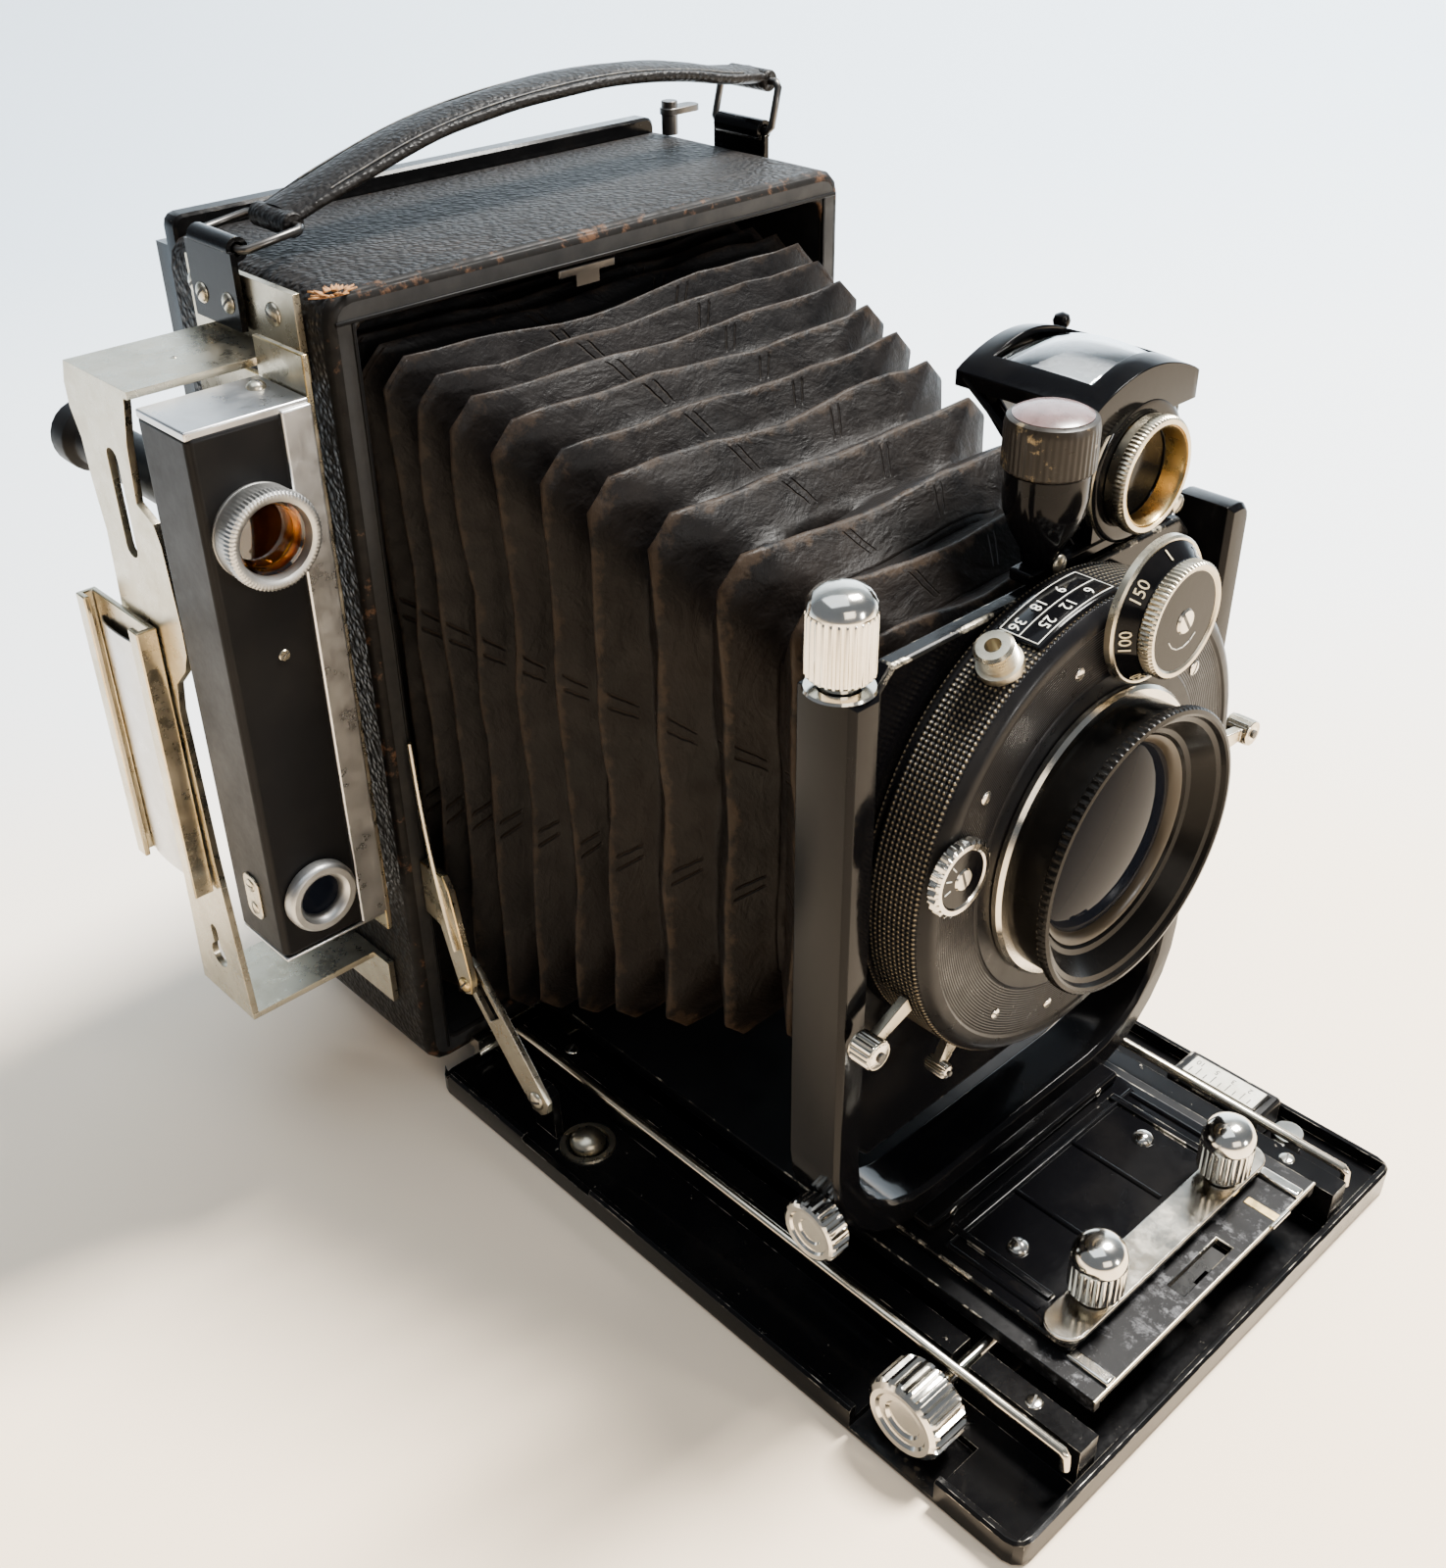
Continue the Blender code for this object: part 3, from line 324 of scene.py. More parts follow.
def speckled(name, scale, detail, low, high, first, second):
    """A material of two tones mixed by a noise; the caller sets the rest."""
    m = Maker(name)
    m.set(colour=m.mix(m.level(m.noise(scale, detail), low, high), first, second))
    return m


def marking(name, colour):
    """Engraved and filled marks, a little dirty."""
    m = Maker(name)
    dirt = m.level(m.noise(900.0, 3.0), 0.45, 0.8, 0.0, 0.6)
    return m.set(colour=m.mix(dirt, colour, (0.25, 0.22, 0.17)), rough=0.55)


def inside_black():
    m = speckled("inside_black", 140.0, 5.0, 0.45, 0.8, (0.003, 0.003, 0.0034), (0.010, 0.009, 0.008))
    rough = m.level(m.noise(200.0, 4.0), 0.3, 0.7, 0.55, 0.8)
    return m.set(rough=rough, normal=m.bump(m.noise(500.0, 4.0), 0.0001, 0.5))


def scale_card():
    m = speckled("scale_card", 240.0, 5.0, 0.4, 0.75, (0.62, 0.60, 0.52), (0.42, 0.39, 0.31))
    return m.set(rough=0.42, metal=m.level(m.noise(400.0, 3.0), 0.3, 0.7, 0.25, 0.55))


def level_disc():
    m = speckled("level_disc", 500.0, 4.0, 0.4, 0.7, (0.17, 0.105, 0.10), (0.11, 0.068, 0.064))
    return m.set(rough=m.level(m.noise(300.0, 3.0), 0.3, 0.7, 0.2, 0.35), coat=0.25)


def ground_screen():
    m = Maker("ground_screen")
    return m.set(colour=(0.78, 0.82, 0.82, 1.0), trans=0.75,
        rough=m.level(m.noise(900.0, 3.0), 0.3, 0.7, 0.45, 0.6))


ENAMEL = paint("enamel_black", (0.0025, 0.0025, 0.003), 0.05, 0.20, gloss=0.10)
ENAMEL_CHIPPED = paint("enamel_chipped", (0.003, 0.003, 0.0033), 0.08, 0.28, chips=1.0, gloss=0.12)
ENAMEL_EDGE = worn("enamel_edge", (0.46, 0.41, 0.32), (0.003, 0.003, 0.003), -0.015, 0.3, 0.9)
BED_EDGE = worn("bed_edge", (0.55, 0.50, 0.42), (0.003, 0.003, 0.003), 0.03, 0.34, 0.9, 180.0)
SATIN = paint("satin_black", (0.005, 0.005, 0.0055), 0.32, 0.5, gloss=0.09)
NICKEL = metal("nickel", (0.66, 0.62, 0.54), (0.42, 0.36, 0.27), 0.10, 0.30)
NICKEL_WARM = metal("nickel_warm", (0.56, 0.51, 0.40), (0.34, 0.285, 0.19), 0.22, 0.42, stain=0.75)
CHROME = metal("nickel_bright", (0.76, 0.73, 0.66), (0.50, 0.43, 0.32), 0.10, 0.22, stain=0.5)
BRASS = metal("brass", (0.60, 0.44, 0.20), (0.34, 0.22, 0.09), 0.20, 0.42, stain=0.7)
ALUMINIUM = metal("aluminium", (0.60, 0.60, 0.60), (0.42, 0.42, 0.41), 0.26, 0.42, (2600.0, 2600.0, 40.0),
    0.00002)
TURNED = metal("aluminium_turned", (0.50, 0.50, 0.49), (0.34, 0.34, 0.32), 0.34, 0.5)
LEATHER = leather("leather_pebble", (0.0065, 0.0056, 0.0052), (0.055, 0.040, 0.029), depth=0.0004)
STRAP = leather("leather_strap", (0.006, 0.0052, 0.0048), (0.045, 0.033, 0.025), 1000.0, 0.0002,
    (0.34, 0.55), 0.5)
LEATHER_EDGE = worn("leather_edge", (0.075, 0.038, 0.02), (0.004, 0.0034, 0.003), -0.03, 0.6, 0.0, 330.0)
BELLOWS = bellows_leather()
SHUTTER = shutter_paint()
TRACK = track_paint()
INSIDE = inside_black()
CARD = scale_card()
DISC = level_disc()
AMBER = glass("amber_glass", (0.95, 0.42, 0.03), 0.03)
SCREEN = ground_screen()
MIRROR = metal("mirror_silver", (0.88, 0.90, 0.92), (0.70, 0.72, 0.74), 0.02, 0.06, scratch=0.000001,
    stain=0.3)
WHITE = marking("white_marks", (0.78, 0.77, 0.70))
BRONZE = worn("bronze", (0.36, 0.27, 0.15), (0.020, 0.017, 0.014), -0.01, 0.35, 0.9, 300.0)
GOLD_MARK = marking("gold_marks", (0.72, 0.62, 0.40))
# dark print, ticks and stitches; on screw heads it is the painted shade of the slots
DARK_MARKS_AND_SLOT_SHADE = marking("dark_marks_and_slot_shade", (0.02, 0.02, 0.02))
RAIL = metal("rail_nickel", (0.64, 0.58, 0.47), (0.50, 0.43, 0.31), 0.16, 0.28, scratch=0.000002, stain=0.4)
BRASS_EDGE = metal("brass_edge", (0.66, 0.57, 0.40), (0.50, 0.38, 0.20), 0.18, 0.32, stain=0.9)
FRAYED = worn("frayed", (0.34, 0.17, 0.07), (0.16, 0.08, 0.04), 0.1, 0.7, 0.0, 700.0)
DARK_WIRE = metal("dark_wire", (0.10, 0.095, 0.09), (0.05, 0.045, 0.04), 0.28, 0.45)
# painted shade: black standing in for the dark inside of openings, behind the rangefinder window and in the
# track window
WELL_SHADE = paint("well_painted_shade", (0.003, 0.003, 0.003), 0.2, 0.4)
BARREL = paint("barrel_black", (0.004, 0.0036, 0.0032), 0.14, 0.30, gloss=0.08)
RIM_BRASS = paint("glass_seat_black", (0.03, 0.022, 0.012), 0.25, 0.4)
# painted shade: the glass is an opaque near-black skin standing in for the dark inside seen through it
LENS_GLASS = paint("lens_glass", (0.003, 0.004, 0.007), 0.01, 0.03, dust=(0.006, 0.007, 0.012), peel=0.0,
    gloss=0.03)
# painted reflection: a pale bluish card under the finder lens that makes the lens look bright
PAINTED_REFLECTION_CARD = paint("painted_reflection_card", (0.74, 0.77, 0.80), 0.2, 0.35, dust=(0.55, 0.56, 0.56))
FINDER_GLASS = glass("finder_glass", (0.97, 0.98, 0.98), 0.01)
# faces, then edges
CHIPPED = [ENAMEL_CHIPPED, ENAMEL_EDGE]
SHEET_METAL = [NICKEL_WARM, BRASS_EDGE]


# ---------------------------------------------------------------- mesh helpers

def piece(name, bm, materials, body, sharp=35.0, smooth=True):
    """Turns a bmesh in metres into a named piece that rides on a body."""
    bmesh.ops.recalc_face_normals(bm, faces=bm.faces)
    mesh = bpy.data.meshes.new(name)
    bm.to_mesh(mesh)
    bm.free()
    for made in materials if isinstance(materials, (list, tuple)) else [materials]:
        mesh.materials.append(made)
    obj = bpy.data.objects.new(name, mesh)
    SCENE.collection.objects.link(obj)
    if smooth:
        mesh.shade_smooth()
        mesh.set_sharp_from_angle(angle=radians(sharp))
    if body:
        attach(obj, body)
    return obj


def soften(obj, width, segments=2, angle=30.0, edge_slot=0):
    """Rounds the sharp edges of a piece so that they catch the light."""
    made = obj.modifiers.new("edges", "BEVEL")
    made.width = width * MM
    made.segments = segments
    made.limit_method = "ANGLE"
    made.angle_limit = radians(angle)
    made.harden_normals = False
    made.material = edge_slot if edge_slot else -1
    return obj


def refine(node, materials, width=0.25, segments=2, angle=30.0, pick=None, sharp=40.0):
    """A finer copy of a CAD node: triangles joined into flat faces, and rounded edges.

    Where there are several materials, the rounded edges get the last of them.
    """
    source = frame["nodes"][node]
    bm = bmesh.new()
    bm.from_mesh(source.data)
    bmesh.ops.remove_doubles(bm, verts=bm.verts, dist=2e-6)
    bmesh.ops.dissolve_limit(bm, angle_limit=radians(0.6), verts=bm.verts, edges=bm.edges)
    if pick:
        for face in bm.faces:
            centre = face.calc_center_median() / MM
            face.material_index = pick(Vector((centre.x, centre.y - DATUM_Y, centre.z)))
    obj = piece("vis_" + node, bm, materials, source["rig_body"], sharp)
    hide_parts(node)
    if width:
        soften(obj, width, segments, angle, len(materials) - 1 if isinstance(materials, list) else 0)


def turn_frame(axis):
    """Two directions square to an axis."""
    axis = Vector(axis).normalized()
    helper = Z if abs(axis.z) < 0.9 else X
    u = helper.cross(axis).normalized()
    return axis, u, axis.cross(u)


def lathe(name, profile, origin, axis, materials, body, segments=48, ribs=0, depth=0.0, sharpness=1.0,
        slot=None, sharp=35.0, closed=False):
    """Turns a profile round an axis, from rows of radius, height and, where given, ribbed and material."""
    axis, u, v = turn_frame(axis)
    origin = Vector(origin)
    count = ribs * 6 if ribs else segments
    bm = bmesh.new()
    rings = []
    for row in profile:
        radius, height = row[0], row[1]
        ribbed = row[2] if len(row) > 2 else 0
        if radius <= 1e-6:
            rings.append([bm.verts.new(P(*(origin + axis * height)))])
            continue
        ring = []
        for i in range(count):
            angle = 2 * pi * i / count
            wave = min(max(0.5 + 0.5 * sharpness * cos(angle * ribs), 0.0), 1.0) if ribs else 1.0
            r = radius - (depth * (1.0 - wave) if ribbed else 0.0)
            ring.append(bm.verts.new(P(*(origin + axis * height + u * (cos(angle) * r) + v
                * (sin(angle) * r)))))
        rings.append(ring)
    pairs = list(zip(range(len(rings)), range(1, len(rings))))
    if closed:
        pairs.append((len(rings) - 1, 0))
    for i, j in pairs:
        a, b = rings[i], rings[j]
        index = profile[j][3] if len(profile[j]) > 3 else 0
        for k in range(count):
            m = (k + 1) % count
            if len(a) == 1 and len(b) == 1:
                continue
            if len(a) == 1:
                face = bm.faces.new((a[0], b[m], b[k]))
            elif len(b) == 1:
                face = bm.faces.new((a[k], a[m], b[0]))
            else:
                face = bm.faces.new((a[k], a[m], b[m], b[k]))
            face.material_index = index
    return piece(name, bm, materials, body, sharp)


def skin(bm, rings, closed=True):
    """Faces between neighbouring rings, or between rows when they are not closed."""
    for a, b in zip(rings, rings[1:]):
        for i in range(len(a) if closed else len(a) - 1):
            j = (i + 1) % len(a)
            bm.faces.new((a[i], a[j], b[j], b[i]))


def turned(node, *args, **settings):
    """A turned piece that stands in for a CAD node."""
    made = lathe("vis_" + node, *args, **settings)
    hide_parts(node)


def thicken(obj, thickness):
    """Gives a sheet a thickness in millimetres, inwards."""
    made = obj.modifiers.new("thickness", "SOLIDIFY")
    made.thickness = thickness * MM
    made.offset = -1.0


def slab(name, outline, direction, low, high, materials, body, width=0.3, segments=2):
    """A flat plate: an outline in the plane square to X, Y or Z, between two levels."""
    bm = bmesh.new()
    ends = []
    for level in (low, high):
        row = []
        for a, b in outline:
            at = {"X": (level, a, b), "Y": (a, level, b), "Z": (a, b, level)}[direction]
            row.append(bm.verts.new(P(*at)))
        ends.append(row)
    bm.faces.new(ends[0])
    bm.faces.new(ends[1])
    n = len(outline)
    for i in range(n):
        j = (i + 1) % n
        bm.faces.new((ends[0][i], ends[0][j], ends[1][j], ends[1][i]))
    obj = piece(name, bm, materials, body)
    return soften(obj, width, segments) if width else obj


def block(name, low, high, materials, body, width=0.3, segments=2):
    outline = [(low[0], low[1]), (high[0], low[1]), (high[0], high[1]), (low[0], high[1])]
    return slab(name, outline, "Z", low[2], high[2], materials, body, width, segments)


def rounded(x0, x1, z0, z1, r, steps=6):
    """A rectangle's outline with round corners."""
    points = []
    for cx, cz, start in ((x1 - r, z1 - r, 0), (x0 + r, z1 - r, 90), (x0 + r, z0 + r, 180),
            (x1 - r, z0 + r, 270)):
        for i in range(steps + 1):
            angle = radians(start + 90.0 * i / steps)
            points.append((cx + r * cos(angle), cz + r * sin(angle)))
    return points


def smooth_path(points, steps=8):
    """A Catmull-Rom curve through the points."""
    points = [Vector(p) for p in points]
    ends = [2 * points[0] - points[1]] + points + [2 * points[-1] - points[-2]]
    out = []
    for i in range(1, len(ends) - 2):
        a, b, c, d = ends[i - 1:i + 3]
        for k in range(steps):
            t = k / steps
            out.append(0.5 * (2 * b + (c - a) * t + (2 * a - 5 * b + 4 * c - d) * t * t
                + (3 * b - a - 3 * c + d) * t ** 3))
    out.append(points[-1])
    return out


def wire(name, points, radius, material, body, closed=False):
    """A round wire along a path in millimetres."""
    data = bpy.data.curves.new(name, "CURVE")
    data.dimensions = "3D"
    data.bevel_depth = radius * MM
    data.bevel_resolution = 3
    data.use_fill_caps = True
    spline = data.splines.new("POLY")
    spline.points.add(len(points) - 1)
    for target, point in zip(spline.points, points):
        target.co = (*P(*point), 1.0)
    spline.use_cyclic_u = closed
    data.materials.append(material)
    obj = bpy.data.objects.new(name, data)
    SCENE.collection.objects.link(obj)
    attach(obj, body)
    return obj


def screw(name, at, axis, radius, height, material, body, turn=0.0, domed=True):
    """A slotted screw head on a surface."""
    axis, u, v = turn_frame(axis)
    at = Vector(at)
    bm = bmesh.new()
    side, rows = 24, 6
    rings = []
    for i in range(rows + 1):
        share = i / rows
        r = radius * (cos(share * pi / 2) if domed else 1.0 - 0.12 * share)
        h = height * (sin(share * pi / 2) if domed else share)
        if domed and i == rows:
            rings.append([bm.verts.new(P(*(at + axis * height)))])
            break
        rings.append([bm.verts.new(P(*(at + axis * h + (u * cos(2 * pi * k / side) + v
            * sin(2 * pi * k / side)) * r))) for k in range(side)])
    for a, b in zip(rings, rings[1:]):
        for k in range(side):
            m = (k + 1) % side
            if len(b) == 1:
                bm.faces.new((a[k], a[m], b[0]))
            else:
                bm.faces.new((a[k], a[m], b[m], b[k]))
    if not domed:
        bm.faces.new(rings[-1])
    bm.faces.new(list(reversed(rings[0])))
    w, long = radius * 0.13, radius * (0.86 if domed else 0.84)
    d = u * cos(turn) + v * sin(turn)
    e = v * cos(turn) - u * sin(turn)
    steps = 10
    strips = []
    for i in range(steps + 1):
        s = -long + 2 * long * i / steps
        lift = (height * sqrt(max(1 - (s / radius) ** 2, 0.0)) if domed else height) + 0.03
        strips.append([bm.verts.new(P(*(at + axis * lift + d * s + e * (w * q)))) for q in (-1, 1)])
    # the slot is a flat dark strip on the head: painted shade where the groove would be
    for a, b in zip(strips, strips[1:]):
        face = bm.faces.new((a[0], a[1], b[1], b[0]))
        face.material_index = 1
    return piece(name, bm, [material, DARK_MARKS_AND_SLOT_SHADE], body, 50.0)


def letters(name, text, at, right, up, size, material, body):
    """Generic numerals or marks, as thin raised shapes."""
    data = bpy.data.curves.new(name, "FONT")
    data.body = text
    data.size = size * MM
    data.extrude = 0.02 * MM
    data.align_x = "CENTER"
    data.align_y = "CENTER"
    data.resolution_u = 3
    data.materials.append(material)
    obj = bpy.data.objects.new(name, data)
    SCENE.collection.objects.link(obj)
    right, up = Vector(right).normalized(), Vector(up).normalized()
    normal = right.cross(up)
    obj.matrix_world = Matrix.Translation(P(*at)) @ Matrix((right, up, normal)).transposed().to_4x4()
    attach(obj, body)
    return obj


def polar(angle, radius, centre=(0.0, LENS_Z)):
    """The x and z of a point at an angle in degrees round an axis along Y."""
    angle = radians(angle)
    return centre[0] + radius * cos(angle), centre[1] + radius * sin(angle)


# ---------------------------------------------------------------- bellows

RIDGES = (34.5, 28.5, 22.5, 16.6, 10.8, 5.0, -0.8, -6.6, -13.7, -21.9, -30.6, -39.5, -50.1, -62.0, -74.0,
    -84.6)
BELLOWS_REAR, BELLOWS_FRONT = 38.0, -89.2
# One run of pleats for each joint that the bellows spans: name, last ridge, bodies it joins
BELLOWS_RUNS = (("body", 8, BODY, "bed"), ("focus", 11, "bed", "track"),
    ("carriage", 14, "track", "carriage"), ("cross", 15, "carriage", "standard"),
    ("front", 16, "standard", LENS))


def bellows_size(y):
    """Half width, bottom and top of the bellows at a station."""
    if y >= 0.0:
        share = y / 38.0
        return 47.5 + 0.3 * share, 16.0 - 0.5 * share, 144.0 + 1.5 * share
    share = y / BELLOWS_FRONT
    return 47.5 - 17.9 * share, 16.0 + 32.0 * share, 144.0 - 24.7 * share


def bellows_ring(y, open_share, index):
    """Points round one section; open_share is 1 on a ridge and 0 in a valley."""
    half, low, high = bellows_size(y)
    inset = 5.2 * (1.0 - open_share)
    half, low, high = half - inset, low + inset, high - inset
    cut = 4.2 + 4.8 * (1.0 - open_share)
    corners = [(half, low + cut), (half, high - cut), (half - cut, high), (-half + cut, high),
        (-half, high - cut), (-half, low + cut), (-half + cut, low), (half - cut, low)]
    steps = (16, 3, 14, 3, 16, 3, 14, 3)
    points, across = [], []
    for k in range(8):
        a, b = Vector(corners[k]), Vector(corners[(k + 1) % 8])
        out = Vector(((b - a).y, -(b - a).x)).normalized()
        long = k % 2 == 0
        for i in range(steps[k]):
            share = i / steps[k]
            at = a.lerp(b, share)
            if long:
                bow = sin(pi * share)
                ripple = noise.noise(Vector((at.x * 0.055, y * 0.045 + index * 3.1, at.y * 0.055)))
                crisp = noise.noise(Vector((at.x * 0.17 + 9.0, y * 0.2, at.y * 0.17)))
                at = at + out * (-0.9 * bow * open_share + 1.5 * ripple * min(bow * 2.5,
                    1.0) + 0.45 * crisp)
            points.append(at)
            across.append(1.0 - abs(2.0 * share - 1.0) if long else 0.0)
    return points, across


def bellows_stations():
    """Stations along the lens axis with how open each one is, and the pleat each belongs to."""
    ends = [BELLOWS_REAR] + [0.5 * (a + b) for a, b in zip(RIDGES, RIDGES[1:])] + [BELLOWS_FRONT]
    rows, cuts = [], [0]
    shape = ((0.0, 0.0), (0.09, 0.035), (0.3, 0.27), (0.55, 0.54), (0.8, 0.81), (0.93, 0.965), (1.0, 1.0))
    for i, ridge in enumerate(RIDGES):
        for share, lift in shape:
            if i and share == 0.0:
                continue
            rows.append((ends[i] + (ridge - ends[i]) * share, lift, i))
        for share, lift in reversed(shape[:-1]):
            rows.append((ends[i + 1] + (ridge - ends[i + 1]) * share, lift, i))
        cuts.append(len(rows) - 1)
    return rows, cuts


def make_bellows():
    rows, cuts = bellows_stations()
    start = 0
    for name, last, rear_body, front_body in BELLOWS_RUNS:
        stop = cuts[last]
        bm = bmesh.new()
        layers = {key: bm.verts.layers.float.new(key) for key in ("ridge", "across", "front")}
        rings = []
        for y, lift, index in rows[start:stop + 1]:
            points, across = bellows_ring(y, lift, index)
            wander = 0.5 * noise.noise(Vector((index * 7.0, 0.3, 0.1)))
            ring = []
            for point, side in zip(points, across):
                shift = wander + 1.1 * lift * noise.noise(Vector((point.x * 0.06, index * 2.3,
                    point.y * 0.06)))
                edge = y in (BELLOWS_REAR, BELLOWS_FRONT) or lift == 0.0
                vert = bm.verts.new(P(point.x, y + (0.0 if edge else shift), point.y))
                vert[layers["ridge"]] = lift
                vert[layers["across"]] = side
                # how far towards the front each point lies; the material uses it to paint the bluish sheen
                # at the rear
                vert[layers["front"]] = min(max((20.0 - y) / 110.0, 0.0), 1.0)
                ring.append(vert)
            rings.append(ring)
        skin(bm, rings)
        obj = piece("vis_bellows_" + name, bm, BELLOWS, None, 75.0)
        thicken(obj, 0.7)
        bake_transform(obj)
        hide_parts("bellows_" + name)
        start = stop


# ---------------------------------------------------------------- body, back and handle

def make_body():
    def side_of_wall(centre):
        return 1 if abs(centre.x) < 50.4 and 9.6 < centre.z < 150.4 else 0

    refine("body_casing", [LEATHER, INSIDE, LEATHER_EDGE], 1.5, 4, 40.0, side_of_wall, 60.0)
    refine("body_tripod_bush", NICKEL, 0.2)
    refine("bed_catch", DARK_WIRE, 0.3, 3)
    refine("bed_hinge_rod", NICKEL, 0.1)
    # a thin black lining along the front opening
    for name, x0, x1, z0, z1 in (("top", -53.6, 53.6, 150.3, 150.9), ("left", -50.9, -50.3, 8.0, 150.3),
            ("right", 50.3, 50.9, 8.0, 150.3)):
        block("front_lining_" + name, (x0, -0.35, z0), (x1, 0.3, z1), SATIN, BODY, 0.15)
    # frayed leather at the upper left front corner
    bm = bmesh.new()
    for i in range(26):
        angle = 2.4 * i
        reach = 0.5 + 2.2 * abs(noise.noise(Vector((i * 1.7, 0.2, 0.4)))) + 0.05 * i
        base = Vector((-52.4 + 2.4 * cos(angle) * 0.8, 1.2 + 1.1 * sin(angle), 154.9))
        tip = base + Vector((reach * cos(angle), 0.7 * reach * sin(angle), 0.55))
        side = Vector((-sin(angle), cos(angle), 0.0)) * 0.55
        ends = [bm.verts.new(P(*(base + side))), bm.verts.new(P(*(base - side))), bm.verts.new(P(*tip))]
        bm.faces.new(ends)
    frayed = piece("frayed_leather", bm, FRAYED, BODY)
    thicken(frayed, 0.25)

    refine("back_frame", CHIPPED, 0.4)
    refine("screen_holder", CHIPPED, 0.4)
    refine("ground_glass", SCREEN, 0.1)
    refine("screen_lid", [LEATHER, LEATHER_EDGE], 0.6, 3)
    refine("back_latch", DARK_WIRE, 0.25)
    for x in (-44.0, 44.0):
        for z in (22.0, 132.0):
            screw(f"lid_screw_{int(x)}_{int(z)}", (x * 1.08, 56.4, z + (16.0 if z > 100 else -8.0)), Y,
                1.3, 0.5, NICKEL, "screen", 0.6)


def make_handle():
    for side, name in ((-1, "left"), (1, "right")):
        refine("handle_bracket_" + name, CHIPPED, 0.3, 3)
        refine("handle_ring_" + name, DARK_WIRE, 0.0, sharp=180.0)
        x = side * (58.1 if side < 0 else 56.4)
        for y in (HANDLE_Y - 4.0, HANDLE_Y + 4.0):
            screw(f"handle_screw_{name}_{int(y)}", (x, y, 150.0), X * side, 1.7, 0.7, NICKEL_WARM, BODY,
                0.7)
    left, right = (-45.6, 159.6), (58.4, 166.6)
    spine = smooth_path([(left[0] + 0.5, left[1] + 0.7), (-34.0, 164.0), (-20.0, 168.0), (-6.0, 170.4),
        (10.0, 171.6), (24.0, 171.6), (38.0, 170.2), (49.0, 168.2), (right[0] - 0.5, right[1] + 0.6)], 9)
    section = []
    half, thick = 6.0, 1.15
    for i in range(28):
        angle = 2 * pi * i / 28
        across = half * (abs(cos(angle)) ** 0.55) * (1 if cos(angle) >= 0 else -1)
        up = thick * (abs(sin(angle)) ** 0.75) * (1 if sin(angle) >= 0 else -1)
        if up > 0:
            up *= 1.0 + 0.42 * max(0.0, 1.0 - (across / 4.0) ** 2)
            up -= 0.32 * max(0.0, 1.0 - ((abs(across) - 4.7) / 0.45) ** 2)
        section.append((across, up))
    bm = bmesh.new()
    rings = []
    count = len(spine)
    for i, point in enumerate(spine):
        before, after = spine[max(i - 1, 0)], spine[min(i + 1, count - 1)]
        t = (after - before).normalized()
        normal = Vector((-t.y, t.x))
        share = i / (count - 1)
        narrow = 1.0 - 0.10 * max(0.0, 1.0 - min(share, 1 - share) / 0.10)
        ring = []
        for across, up in section:
            sway = 0.25 * noise.noise(Vector((share * 9.0, across * 0.4, 2.0)))
            at = point + normal * (up * (1.0 + 0.15 * sin(pi * share)) + sway)
            ring.append(bm.verts.new(P(at.x, HANDLE_Y + across * narrow, at.y)))
        rings.append(ring)
    skin(bm, rings)
    bm.faces.new(rings[0])
    bm.faces.new(rings[-1])
    strap = piece("vis_handle_strap", bm, STRAP, "strap", 60.0)
    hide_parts("handle_strap")
    # the strap's ends fold round the wires
    for name, (x, z) in (("left", left), ("right", right)):
        lathe("strap_fold_" + name, [(0.0, -5.4), (1.7, -5.4), (1.95, -5.1), (1.95, 5.1), (1.7, 5.4),
            (0.0, 5.4)], (x, HANDLE_Y, z), Y, STRAP, "strap", 28, slot="leather")
    for i in range(2):
        wire(f"strap_stitch_{i}", [(p.x, HANDLE_Y + (4.7 if i else -4.7), p.y + 1.0)
            for p in spine[6:-6]], 0.16, DARK_MARKS_AND_SLOT_SHADE, "strap")


# ---------------------------------------------------------------- rangefinder

